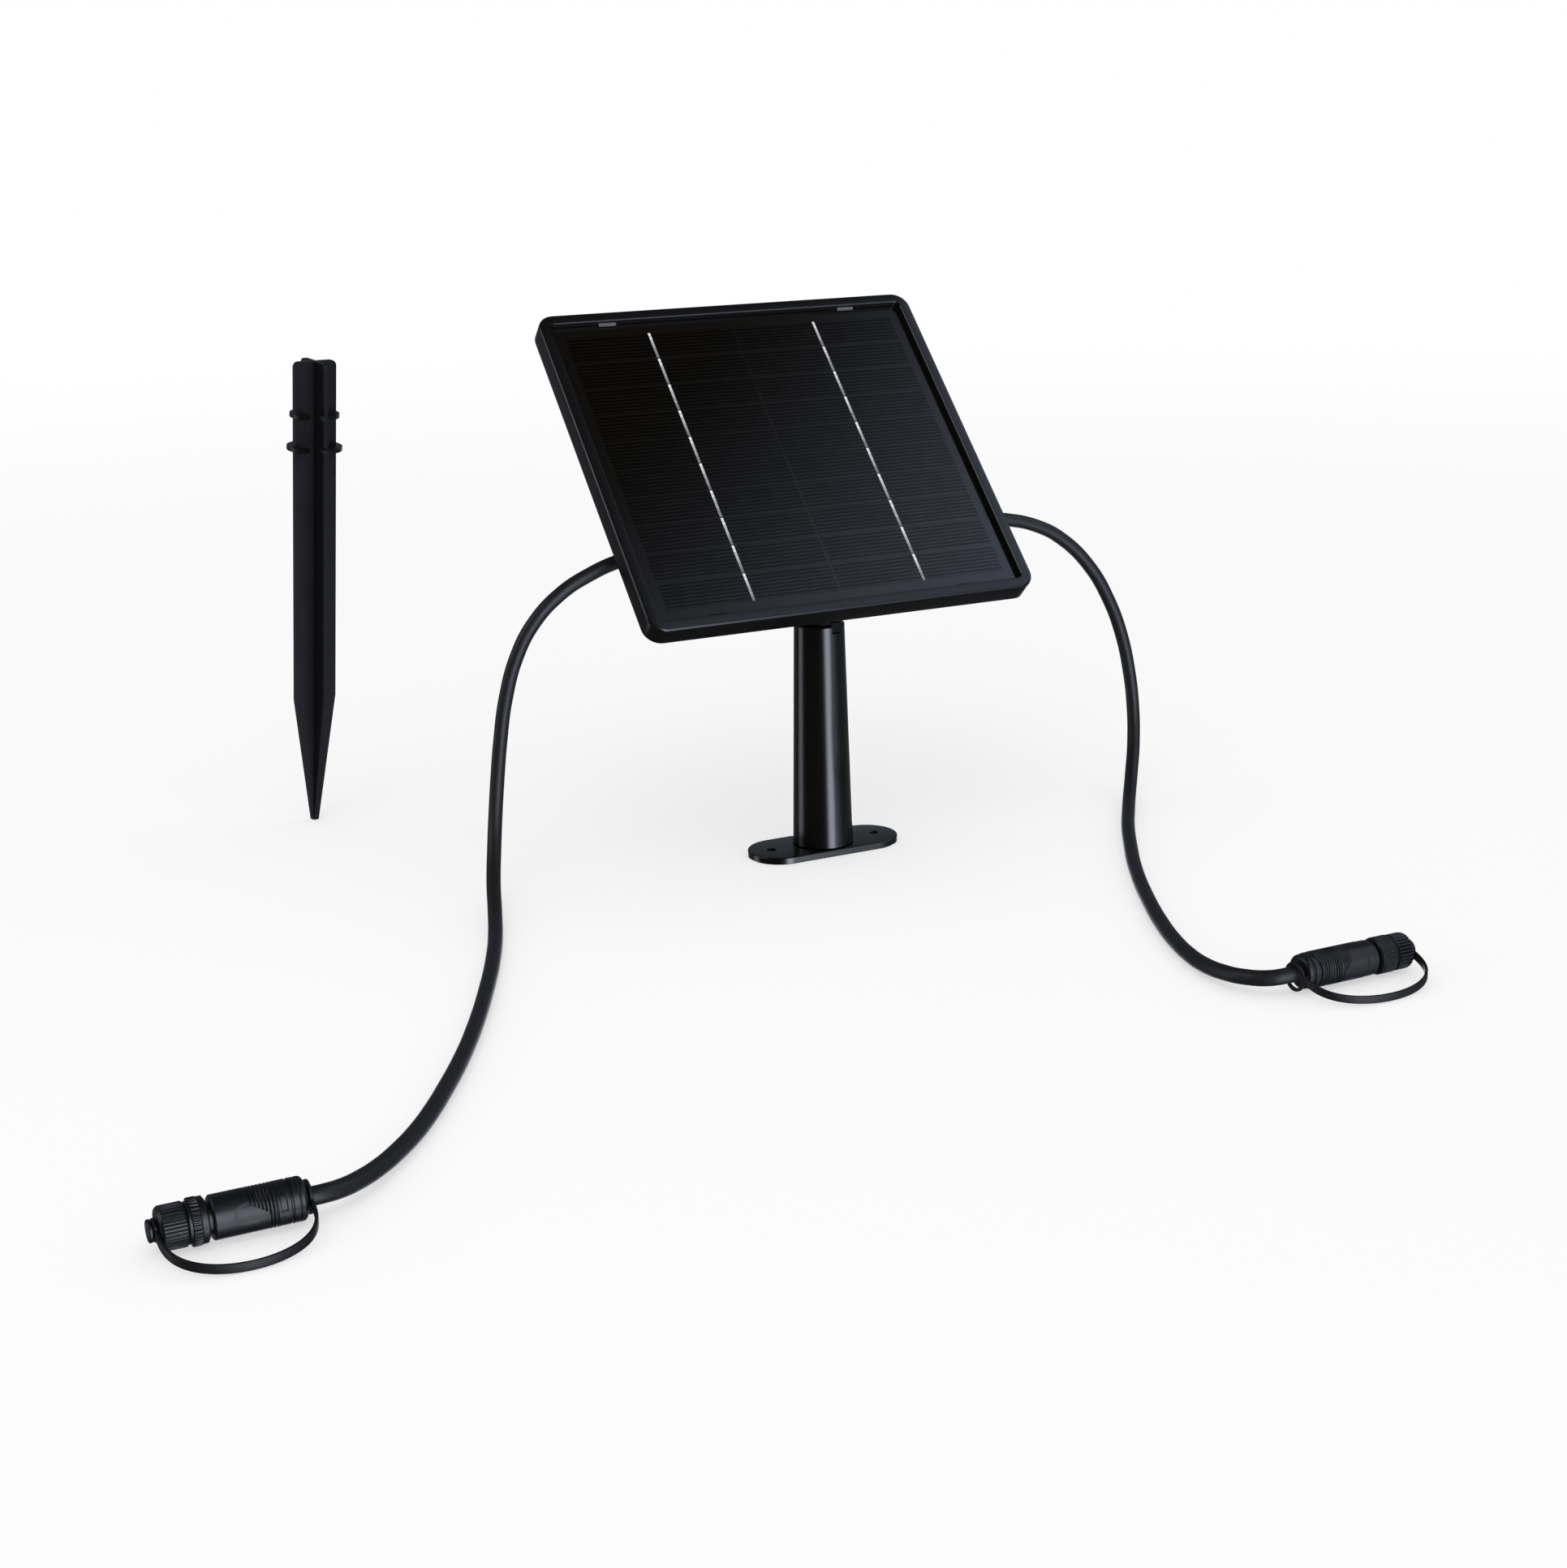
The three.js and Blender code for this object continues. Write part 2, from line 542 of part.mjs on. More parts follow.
function rearHousing() {
  const coverOutline = roundedRectangle(COVER_WIDTH, COVER_HEIGHT, POCKET_CORNER, PANEL_ABOVE_HINGE);
  const cover = prism(coverOutline, COVER_REAR, COVER_FRONT, { curveSegments: 2 });
  const walls = prism(housingOutline(0), WALL_END, COVER_REAR + COVER_THICKNESS / 2);
  const hollow = prism(housingOutline(HOUSING_WALL), WALL_END - OVERCUT, COVER_REAR);
  let housing = cut(joined(solid(cover), solid(walls)), solid(hollow));
  const deep = COVER_REAR + COVER_THICKNESS / 2;
  for (const [x, y] of BOSS_PLACES) {
    housing = housing.add(solid(bar(BOSS_RADIUS, WALL_END, deep, 12).translate(x, y, 0)));
  }
  const standoffEnd = COVER_REAR - STANDOFF_HEIGHT;
  const seat = barAlongX(CELL_RADIUS + GAP, -CELL_LENGTH / 2, CELL_LENGTH / 2, 24);
  const holes = [seat.translate(0, CELL_Y, CELL_Z)];
  for (const side of [-1, 1]) {
    const standoff = bar(STANDOFF_RADIUS, standoffEnd, deep, 12);
    const cradleMiddle = side * CRADLE_OFFSET;
    const low = [cradleMiddle - CRADLE_THICKNESS / 2, CELL_Y - CELL_RADIUS, CELL_Z];
    const high = [cradleMiddle + CRADLE_THICKNESS / 2, CELL_Y + CELL_RADIUS, deep];
    standoff.translate(side * STANDOFF_OFFSET, BOARD_MIDDLE, 0);
    housing = joined(housing, solid(standoff), solid(block(low, high)));
    const cordHole = barAlongX(GLAND_SHANK_RADIUS + FIT, -HOUSING_WALL - OVERCUT, OVERCUT);
    const bracketHole = pilotHole(BRACKET_SCREW, COVER_THICKNESS + OVERCUT);
    const boardHole = pilotHole(BOARD_SCREW, BOARD_SCREW.length);
    holes.push(
      cordHole.rotateZ(side < 0 ? Math.PI : 0).translate(side * GLAND_WALL, 0, 0),
      bracketHole.translate(side * BRACKET_SCREW_X, BRACKET_SCREW_Y, COVER_REAR),
      boardHole.translate(side * STANDOFF_OFFSET, BOARD_MIDDLE, standoffEnd),
    );
  }
  for (const [x, y] of BOSS_PLACES) {
    holes.push(pilotHole(LID_SCREW, LID_SCREW.length).translate(x, y, WALL_END));
  }
  for (const [x, y] of COVER_SCREW_PLACES) {
    const hole = countersunkHole(COVER_SCREW, COVER_THICKNESS + OVERCUT);
    holes.push(hole.translate(x, y + PANEL_ABOVE_HINGE, COVER_REAR));
  }
  return cut(housing, ...holes.map(solid));
}

function housingLid() {
  const plate = prism(housingOutline(0), LID_OUTER, LID_INNER, { round: LID_EDGE_ROUND });
  let lid = solid(plate);
  for (const [x, y] of BOSS_PLACES) {
    const hole = countersunkHole(LID_SCREW, LID_THICKNESS + OVERCUT).translate(x, y, LID_OUTER);
    lid = lid.subtract(solid(hole));
  }
  const buttonHole = bar(BUTTON_HOLE_RADIUS, LID_OUTER - OVERCUT, LID_INNER + OVERCUT, 20);
  return lid.subtract(solid(buttonHole.translate(0, BOARD_MIDDLE, 0)));
}

function lidSeal() {
  const outer = prism(housingOutline(SEAL_INSET), SEAL_REAR, SEAL_REAR + SEAL_THICKNESS);
  const inner = prism(housingOutline(SEAL_INSET + SEAL_WIDTH), SEAL_REAR - OVERCUT, WALL_END + OVERCUT);
  return cut(solid(outer), solid(inner));
}

function circuitBoard() {
  const [x, y] = [BOARD_LENGTH / 2, BOARD_WIDTH / 2];
  const side = SWITCH_SIDE / 2;
  const plate = block([-x, -y, BOARD_REAR], [x, y, BOARD_FRONT]);
  const pushSwitch = block([-side, -side, SWITCH_TOP], [side, side, BOARD_FRONT]);
  const holes = [-1, 1].map((hand) => {
    const hole = pilotHole(BOARD_SCREW, BOARD_THICKNESS + OVERCUT);
    return solid(hole.translate(hand * STANDOFF_OFFSET, 0, BOARD_REAR));
  });
  return cut(joined(solid(plate), solid(pushSwitch)), ...holes).translate(0, BOARD_MIDDLE, 0);
}

function batteryCell() {
  const end = CELL_LENGTH / 2;
  const shoulder = end - CELL_TERMINAL_HEIGHT;
  const profile = [
    [0, -end], [CELL_RADIUS, -end], [CELL_RADIUS, shoulder - CELL_CHAMFER],
    [CELL_RADIUS - CELL_CHAMFER, shoulder], [CELL_TERMINAL_RADIUS, shoulder], [CELL_TERMINAL_RADIUS, end],
    [0, end],
  ];
  return turnedAlongX(profile, 24).translate(0, CELL_Y, CELL_Z);
}

function powerButton() {
  const flange = BUTTON_RADIUS + BUTTON_FLANGE;
  const front = BUTTON_FLANGE_REAR + BUTTON_FLANGE_THICKNESS;
  const rear = LID_OUTER - BUTTON_PROUD;
  const profile = [
    [0, rear], [BUTTON_RADIUS - BUTTON_CHAMFER, rear], [BUTTON_RADIUS, rear + BUTTON_CHAMFER],
    [BUTTON_RADIUS, BUTTON_FLANGE_REAR], [flange, BUTTON_FLANGE_REAR], [flange, front], [0, front],
  ];
  return turned(profile, 20).translate(0, BOARD_MIDDLE, 0);
}

function hingeBracket() {
  const front = COVER_REAR - GAP;
  const rear = front - BRACKET_BASE;
  const base = block([-BRACKET_HALF, -BRACKET_BELOW, rear], [BRACKET_HALF, HINGE_BAY_TOP - GAP, front]);
  const ear = new THREE.Shape();
  ear.moveTo(LUG_RADIUS, front - BRACKET_BASE / 2);
  ear.lineTo(-LUG_RADIUS, front - BRACKET_BASE / 2);
  ear.absarc(0, 0, LUG_RADIUS, Math.PI, 2 * Math.PI);
  ear.closePath();
  const ears = [slab(ear, -LUG_OUTER, -LUG_INNER), slab(ear, LUG_INNER, LUG_OUTER)].map(solid);
  const bore = barAlongX(BOLT_RADIUS + FIT, -LUG_OUTER - OVERCUT, LUG_OUTER + OVERCUT);
  const holes = [-1, 1].map((side) => {
    const hole = pilotHole(BRACKET_SCREW, BRACKET_BASE + OVERCUT);
    return solid(hole.translate(side * BRACKET_SCREW_X, BRACKET_SCREW_Y, rear));
  });
  return cut(joined(solid(base), ...ears), solid(bore), ...holes);
}

function hingeBolt() {
  const tail = -(BOLT_HEAD_SEAT + HEX_NUT_HEIGHT);
  const crown = BOLT_HEAD_SEAT + BOLT_HEAD_HEIGHT;
  const profile = [
    [0, tail], [BOLT_RADIUS, tail], [BOLT_RADIUS, BOLT_HEAD_SEAT], [BOLT_HEAD_RADIUS, BOLT_HEAD_SEAT],
    [BOLT_HEAD_RADIUS, crown - BOLT_HEAD_CHAMFER], [BOLT_HEAD_RADIUS - BOLT_HEAD_CHAMFER, crown], [0, crown],
  ];
  return turnedAlongX(profile, 18);
}

function hingeNut() {
  const outer = -BOLT_HEAD_SEAT - HEX_NUT_HEIGHT;
  const body = barAlongX(HEX_NUT_RADIUS, outer, -BOLT_HEAD_SEAT, 6);
  const bore = barAlongX(BOLT_RADIUS + FIT, outer - OVERCUT, OVERCUT - BOLT_HEAD_SEAT, 18);
  return cut(solid(body), solid(bore));
}

function glandBody() {
  const flangeEnd = GAP + GLAND_FLANGE_THICKNESS;
  const threadEnd = flangeEnd + GLAND_THREAD_LENGTH;
  return turnedAlongX([
    [0, -GLAND_SHANK_LENGTH], [GLAND_SHANK_RADIUS, -GLAND_SHANK_LENGTH], [GLAND_SHANK_RADIUS, GAP],
    [GLAND_FLANGE_RADIUS, GAP], [GLAND_FLANGE_RADIUS, flangeEnd], [GLAND_THREAD_RADIUS, flangeEnd],
    [GLAND_THREAD_RADIUS, threadEnd], [0, threadEnd],
  ], 18);
}

function glandNut() {
  const start = 2 * GAP + GLAND_FLANGE_THICKNESS;
  const end = start + GLAND_NUT_LENGTH;
  const boreEnd = start + GLAND_THREAD_LENGTH + GAP;
  const bore = GLAND_THREAD_RADIUS + FIT;
  return turnedAlongX([
    [0, boreEnd], [bore, boreEnd], [bore, start], [GLAND_NUT_RADIUS, start],
    [GLAND_NUT_RADIUS, start + GLAND_NUT_LENGTH / 2],
    [GLAND_NUT_RADIUS - GLAND_NUT_TAPER, end - CORD_SOCKET_DEPTH], [CORD_SOCKET_RADIUS + GLAND_NUT_LIP, end],
    [CORD_SOCKET_RADIUS, end], [CORD_SOCKET_RADIUS, end - CORD_SOCKET_DEPTH], [0, end - CORD_SOCKET_DEPTH],
  ], 18);
}

function makePanel() {
  const panel = new THREE.Group();
  panel.position.set(0, HINGE_BACK, HINGE_HEIGHT);
  panel.rotation.x = THREE.MathUtils.degToRad(TILT_DEG);
  add(panel, "panel_frame", panelFrame(), frameBlack).position.y = PANEL_ABOVE_HINGE;
  add(panel, "solar_laminate", solarLaminate(), laminateBlue).position.y = PANEL_ABOVE_HINGE;
  add(panel, "rear_housing", rearHousing(), housingBlack);
  add(panel, "housing_lid", housingLid(), housingBlack);
  add(panel, "lid_seal", lidSeal(), rubberBlack);
  add(panel, "circuit_board", circuitBoard(), boardGreen);
  add(panel, "battery_cell", batteryCell(), cellSleeve);
  add(panel, "power_button", powerButton(), rubberBlack);
  add(panel, "hinge_bracket", hingeBracket(), housingBlack);
  add(panel, "hinge_bolt", hingeBolt(), zincSteel);
  add(panel, "hinge_nut", hingeNut(), zincSteel);
  for (const [name, side] of [["left", -1], ["right", 1]]) {
    const body = add(panel, `gland_body_${name}`, glandBody(), housingBlack);
    const nut = add(panel, `gland_nut_${name}`, glandNut(), plugBlack);
    for (const mesh of [body, nut]) {
      mesh.position.x = side * GLAND_WALL;
      mesh.rotation.z = side < 0 ? Math.PI : 0;
    }
    const bracketScrew = add(panel, `bracket_screw_${name}`, panHeadScrew(BRACKET_SCREW), zincSteel);
    bracketScrew.position.set(side * BRACKET_SCREW_X, BRACKET_SCREW_Y, COVER_REAR - BRACKET_BASE - 2 * GAP);
    const boardScrew = add(panel, `board_screw_${name}`, panHeadScrew(BOARD_SCREW), zincSteel);
    boardScrew.position.set(side * STANDOFF_OFFSET, BOARD_MIDDLE, BOARD_REAR - GAP);
  }
  BOSS_PLACES.forEach(([x, y], i) => {
    const mesh = add(panel, `lid_screw_${i + 1}`, countersunkScrew(LID_SCREW), zincSteel);
    mesh.position.set(x, y, LID_OUTER + FIT / 2);
  });
  COVER_SCREW_PLACES.forEach(([x, y], i) => {
    const mesh = add(panel, `cover_screw_${i + 1}`, countersunkScrew(COVER_SCREW), zincSteel);
    mesh.position.set(x, y + PANEL_ABOVE_HINGE, COVER_REAR + FIT / 2);
  });
  return panel;
}

// ---------------------------------------------------------------- post, neck, foot and spike

/** The post's outer radius at a height. */
function postRadius(height) {
  const share = (height - POST_BASE) / (POST_TOP - POST_BASE);
  return POST_BOTTOM_RADIUS + (POST_TOP_RADIUS - POST_BOTTOM_RADIUS) * share;
}

function post() {
  const rim = [0, 30, 60, 90].map((angle) => {
    const turn = THREE.MathUtils.degToRad(angle);
    return [
      POST_TOP_RADIUS - POST_RIM_ROUND + POST_RIM_ROUND * Math.cos(turn),
      POST_TOP - POST_RIM_ROUND + POST_RIM_ROUND * Math.sin(turn),
    ];
  });
  const bottomBore = POST_BOTTOM_RADIUS - POST_WALL;
  const topBore = POST_TOP_RADIUS - POST_WALL;
  const [start, end] = [[bottomBore, POST_BASE], [topBore, POST_TOP]];
  const tube = turned([start, [POST_BOTTOM_RADIUS, POST_BASE], ...rim, end, start], 36);
  const keyway = block([KEYWAY_START, -POST_BOTTOM_RADIUS, POST_TOP - KEYWAY_DEPTH],
    [KEYWAY_START + KEYWAY_WIDTH, 0, POST_TOP + OVERCUT]);
  return cut(solid(tube), solid(keyway));
}

/** The angle at which a line from a point touches a circle; side picks one of the two. */
function touchAngle(point, centre, radius, side) {
  const reach = point.clone().sub(centre);
  return Math.atan2(reach.y, reach.x) + side * Math.acos(radius / reach.length());
}

function neck() {
  const armBase = NECK_SHOULDER + NECK_COLLAR_HEIGHT / 2;
  const hinge = new THREE.Vector2(HINGE_BACK, HINGE_HEIGHT);
  const front = new THREE.Vector2(-NECK_FRONT, armBase);
  const rear = new THREE.Vector2(NECK_REAR, armBase);
  const arm = new THREE.Shape();
  arm.moveTo(front.x, front.y);
  arm.lineTo(rear.x, rear.y);
  arm.absarc(hinge.x, hinge.y, KNUCKLE_RADIUS, touchAngle(rear, hinge, KNUCKLE_RADIUS, 1),
    touchAngle(front, hinge, KNUCKLE_RADIUS, -1) + 2 * Math.PI);
  arm.closePath();
  const collarTop = NECK_SHOULDER + NECK_COLLAR_HEIGHT;
  const plugEnd = POST_TOP - NECK_PLUG_LENGTH;
  const stem = turned([
    [0, plugEnd], [NECK_PLUG_RADIUS - NECK_PLUG_CHAMFER, plugEnd],
    [NECK_PLUG_RADIUS, plugEnd + NECK_PLUG_CHAMFER], [NECK_PLUG_RADIUS, NECK_SHOULDER],
    [NECK_COLLAR_RADIUS, NECK_SHOULDER], [NECK_COLLAR_RADIUS, collarTop], [0, collarTop],
  ], 28);
  const keyReach = (NECK_PLUG_RADIUS + POST_TOP_RADIUS) / 2;
  const key = block([KEYWAY_START + GAP, -keyReach, POST_TOP - KEYWAY_DEPTH + GAP],
    [KEYWAY_START + KEYWAY_WIDTH - GAP, 0, NECK_SHOULDER + NECK_COLLAR_HEIGHT / 2]);
  const bore = barAlongX(BOLT_RADIUS + FIT, -KNUCKLE_WIDTH, KNUCKLE_WIDTH);
  bore.translate(0, HINGE_BACK, HINGE_HEIGHT);
  const armSolid = solid(slab(arm, -KNUCKLE_WIDTH / 2, KNUCKLE_WIDTH / 2, 14));
  return cut(joined(armSolid, solid(stem), solid(key)), solid(bore));
}

function footPlate() {
  const end = FOOT_WIDTH / 2;
  const middle = FOOT_LENGTH / 2 - end;
  const outline = new THREE.Shape();
  outline.absarc(middle, 0, end, -Math.PI / 2, Math.PI / 2);
  outline.absarc(-middle, 0, end, Math.PI / 2, 1.5 * Math.PI);
  outline.closePath();
  const plate = prism(outline, 0, FOOT_THICKNESS, { round: FOOT_EDGE_ROUND, curveSegments: 14 });
  const spigotInner = SPIGOT_OUTER - SPIGOT_WALL;
  const root = FOOT_THICKNESS / 2;
  const spigot = turned([
    [0, root], [SPIGOT_OUTER, root], [SPIGOT_OUTER, SPIGOT_TOP - SPIGOT_CHAMFER],
    [SPIGOT_OUTER - SPIGOT_CHAMFER, SPIGOT_TOP], [spigotInner, SPIGOT_TOP], [spigotInner, FOOT_THICKNESS],
    [0, FOOT_THICKNESS],
  ], 20);
  const holes = [-1, 1].map((side) => solid(bar(FOOT_HOLE_RADIUS, -OVERCUT, FOOT_THICKNESS + OVERCUT, 16)
    .translate((side * FOOT_HOLE_SPACING) / 2, 0, 0)));
  return cut(joined(solid(plate), solid(spigot)), ...holes);
}

/** One full-width fin of the spike: straight, then drawn in to the tip, with round upper corners. */
function spikeFin() {
  const outline = new THREE.Shape();
  const [reach, corner] = [SPIKE_FIN_REACH, SPIKE_FIN_CORNER];
  outline.moveTo(SPIKE_TIP_HALF, 0);
  outline.lineTo(reach, SPIKE_TAPER_LENGTH);
  outline.absarc(reach - corner, SPIKE_LENGTH - corner, corner, 0, Math.PI / 2);
  outline.absarc(corner - reach, SPIKE_LENGTH - corner, corner, Math.PI / 2, Math.PI);
  outline.lineTo(-reach, SPIKE_TAPER_LENGTH);
  outline.lineTo(-SPIKE_TIP_HALF, 0);
  outline.closePath();
  return slab(outline, -SPIKE_FIN_THICKNESS / 2, SPIKE_FIN_THICKNESS / 2, 5);
}

/** One collar of the spike: a thin ring, open for a short stretch on two opposite sides. */
function spikeCollar(radius, fromTop) {
  const outline = ringOutline(radius, radius - COLLAR_REACH);
  const height = SPIKE_LENGTH - fromTop;
  const half = COLLAR_THICKNESS / 2;
  let collar = solid(prism(outline, height - half, height + half, { curveSegments: 18 }));
  const from = THREE.MathUtils.degToRad(COLLAR_GAP_START_DEG);
  const to = from + THREE.MathUtils.degToRad(COLLAR_GAP_DEG);
  for (const turned of [0, Math.PI]) {
    const wedge = new THREE.Shape();
    wedge.moveTo(0, 0);
    for (const angle of [from, to]) {
      const turn = angle + turned;
      wedge.lineTo(2 * radius * Math.cos(turn), 2 * radius * Math.sin(turn));
    }
    wedge.closePath();
    collar = collar.subtract(solid(prism(wedge, height - COLLAR_THICKNESS, height + COLLAR_THICKNESS)));
  }
  return collar;
}

function groundSpike() {
  const fins = [solid(spikeFin()), solid(spikeFin().rotateZ(Math.PI / 2))];
  const upperCollar = spikeCollar(UPPER_COLLAR_RADIUS, UPPER_COLLAR_FROM_TOP);
  const lowerCollar = spikeCollar(UPPER_COLLAR_RADIUS + LOWER_COLLAR_STEP, LOWER_COLLAR_FROM_TOP);
  return joined(...fins, upperCollar, lowerCollar);
}

function makeStand() {
  const stand = new THREE.Group();
  add(stand, "foot_plate", footPlate(), postBlack);
  add(stand, "post", post(), postBlack);
  add(stand, "neck", neck(), housingBlack);
  const spike = add(stand, "ground_spike", groundSpike(), postBlack);
  const lean = THREE.MathUtils.degToRad(SPIKE_LEAN_DEG);
  const heading = THREE.MathUtils.degToRad(SPIKE_LEAN_HEADING_DEG);
  const leanAxis = new THREE.Vector3(-Math.sin(heading), Math.cos(heading), 0);
  spike.quaternion.setFromAxisAngle(leanAxis, lean);
  spike.rotateZ(THREE.MathUtils.degToRad(SPIKE_TURN_DEG));
  spike.position.set(...SPIKE_PLACE, 1.5 * SPIKE_TIP_HALF * Math.sin(lean));
  return stand;
}

// ---------------------------------------------------------------- cords and plugs

function cord(route) {
  const points = route.map((point) => new THREE.Vector3(...point));
  const path = new THREE.CatmullRomCurve3(points, false, "centripetal");
  const section = [];
  for (let i = 0; i < CORD_SIDES; i += 1) {
    const angle = (2 * Math.PI * (i + 0.5)) / CORD_SIDES;
    section.push(new THREE.Vector2(CORD_RADIUS * Math.cos(angle), CORD_RADIUS * Math.sin(angle)));
  }
  return new THREE.ExtrudeGeometry(new THREE.Shape(section), { steps: CORD_STEPS, extrudePath: path });
}

/** Where each piece of a plug starts and ends along its axis, from the body's rear face. */
function plugStations({ bodyLength, nutLength, capLength }) {
  const nutStart = bodyLength + PLUG_WAIST;
  const capStart = nutStart + nutLength + GAP;
  const capEnd = capStart + capLength;
  const spigotEnd = capEnd - CAP_END_THICKNESS - GAP;
  const eyeMiddle = capEnd + GAP + STRAP_THICKNESS / 2;
  const buttonStart = capEnd + 2 * GAP + STRAP_THICKNESS;
  return { nutStart, capStart, capEnd, spigotEnd, eyeMiddle, buttonStart };
}

function plugBody({ bodyLength, ...plug }) {
  const { spigotEnd } = plugStations({ bodyLength, ...plug });
  const ringMiddle = spigotEnd - RING_FROM_END;
  const ringFloor = SPIGOT_RADIUS - 2 * RING_SECTION - GAP;
  const ringHalf = RING_SECTION + GAP;
  const grooves = PLUG_GROOVES.flatMap((start) => [
    [PLUG_RADIUS, start], [PLUG_RADIUS - PLUG_GROOVE_DEPTH, start],
    [PLUG_RADIUS - PLUG_GROOVE_DEPTH, start + PLUG_GROOVE_WIDTH], [PLUG_RADIUS, start + PLUG_GROOVE_WIDTH],
  ]);
  return turnedAlongX([
    [0, CORD_SOCKET_DEPTH], [CORD_SOCKET_RADIUS, CORD_SOCKET_DEPTH], [CORD_SOCKET_RADIUS, 0],
    [PLUG_RADIUS - PLUG_CHAMFER, 0], [PLUG_RADIUS, PLUG_CHAMFER], ...grooves,
    [PLUG_RADIUS, bodyLength - PLUG_NOSE], [PLUG_RADIUS - PLUG_NOSE, bodyLength], [SPIGOT_RADIUS, bodyLength],
    [SPIGOT_RADIUS, ringMiddle - ringHalf], [ringFloor, ringMiddle - ringHalf],
    [ringFloor, ringMiddle + ringHalf], [SPIGOT_RADIUS, ringMiddle + ringHalf], [SPIGOT_RADIUS, spigotEnd],
    [CONTACT_BORE_RADIUS, spigotEnd], [CONTACT_BORE_RADIUS, spigotEnd - CONTACT_BORE_DEPTH],
    [0, spigotEnd - CONTACT_BORE_DEPTH],
  ], 18);
}

function plugSeal(plug) {
  const middle = plugStations(plug).spigotEnd - RING_FROM_END;
  const centre = SPIGOT_RADIUS - RING_SECTION;
  const profile = [];
  for (let i = 0; i <= 6; i += 1) {
    const angle = -Math.PI / 2 + (2 * Math.PI * i) / 6;
    profile.push([centre + RING_SECTION * Math.cos(angle), middle + RING_SECTION * Math.sin(angle)]);
  }
  return turnedAlongX(profile, 18);
}

function plugInsert(plug) {
  const floor = plugStations(plug).spigotEnd - CONTACT_BORE_DEPTH + GAP;
  const end = floor + INSERT_LENGTH;
  const body = barAlongX(CONTACT_BORE_RADIUS - FIT, floor, end, 20);
  const holes = [-1, 1].map((side) => {
    const hole = barAlongX(PIN_RADIUS + FIT, floor + INSERT_FLOOR, end + OVERCUT, 8);
    return solid(hole.translate(0, 0, (side * PIN_SPACING) / 2));
  });
  return cut(solid(body), ...holes);
}

function plugPin(plug, side) {
  const start = plugStations(plug).spigotEnd - CONTACT_BORE_DEPTH + 2 * GAP + INSERT_FLOOR;
  const tip = start + PIN_LENGTH;
  const shoulder = [PIN_RADIUS, tip - PIN_POINT];
  const profile = [[0, start], [PIN_RADIUS, start], shoulder, [PIN_RADIUS / 2, tip], [0, tip]];
  return turnedAlongX(profile, 8).translate(0, 0, (side * PIN_SPACING) / 2);
}

/** A ribbed piece round the plug's axis, from a ribbed outline drawn square to it. */
function ribbedAlongX(radius, ribs, from, to) {
  return prism(ribbedOutline(radius, RIB_DEPTH, ribs), from, to).rotateY(Math.PI / 2);
}

function couplingNut({ nutLength, nutRadius, nutRibs, nutFlangeShare, ...plug }) {
  const { nutStart } = plugStations({ nutLength, ...plug });
  const end = nutStart + nutLength;
  const flangeEnd = nutStart + nutLength * nutFlangeShare;
  const flange = turnedAlongX([
    [0, nutStart], [nutRadius - NUT_CHAMFER, nutStart], [nutRadius - RIB_DEPTH, (nutStart + flangeEnd) / 2],
    [nutRadius - RIB_DEPTH / 2, flangeEnd], [0, flangeEnd],
  ], 20);
  const ribs = ribbedAlongX(nutRadius, nutRibs, flangeEnd - FUSE, end);
  const bore = barAlongX(SPIGOT_RADIUS + FIT, nutStart - OVERCUT, end + OVERCUT, 18);
  return cut(joined(solid(flange), solid(ribs)), solid(bore));
}

function plugCap({ capRibs, ...plug }) {
  const { capStart, capEnd, buttonStart } = plugStations(plug);
  const ribEnd = capEnd - CAP_CROWN;
  const skirt = ribbedAlongX(CAP_RADIUS, capRibs, capStart, ribEnd);
  const crown = turnedAlongX([
    [0, ribEnd - FUSE], [CAP_RADIUS - RIB_DEPTH, ribEnd - FUSE], [CAP_RADIUS - 2 * CAP_CROWN, capEnd],
    [0, capEnd],
  ], 20);
  const bore = barAlongX(SPIGOT_RADIUS + FIT, capStart - OVERCUT, capEnd - CAP_END_THICKNESS, 18);
  const buttonEnd = buttonStart + CAP_BUTTON_THICKNESS;
  const neckStart = capEnd - CAP_END_THICKNESS / 2;
  const button = turnedAlongX([
    [0, neckStart], [CAP_NECK_RADIUS, neckStart], [CAP_NECK_RADIUS, buttonStart],
    [CAP_BUTTON_RADIUS, buttonStart],
    [CAP_BUTTON_RADIUS, buttonEnd - CAP_BUTTON_ROUND], [CAP_BUTTON_RADIUS - CAP_BUTTON_ROUND, buttonEnd],
    [0, buttonEnd],
  ], 16);
  return cut(joined(solid(skirt), solid(crown), solid(button)), solid(bore));
}

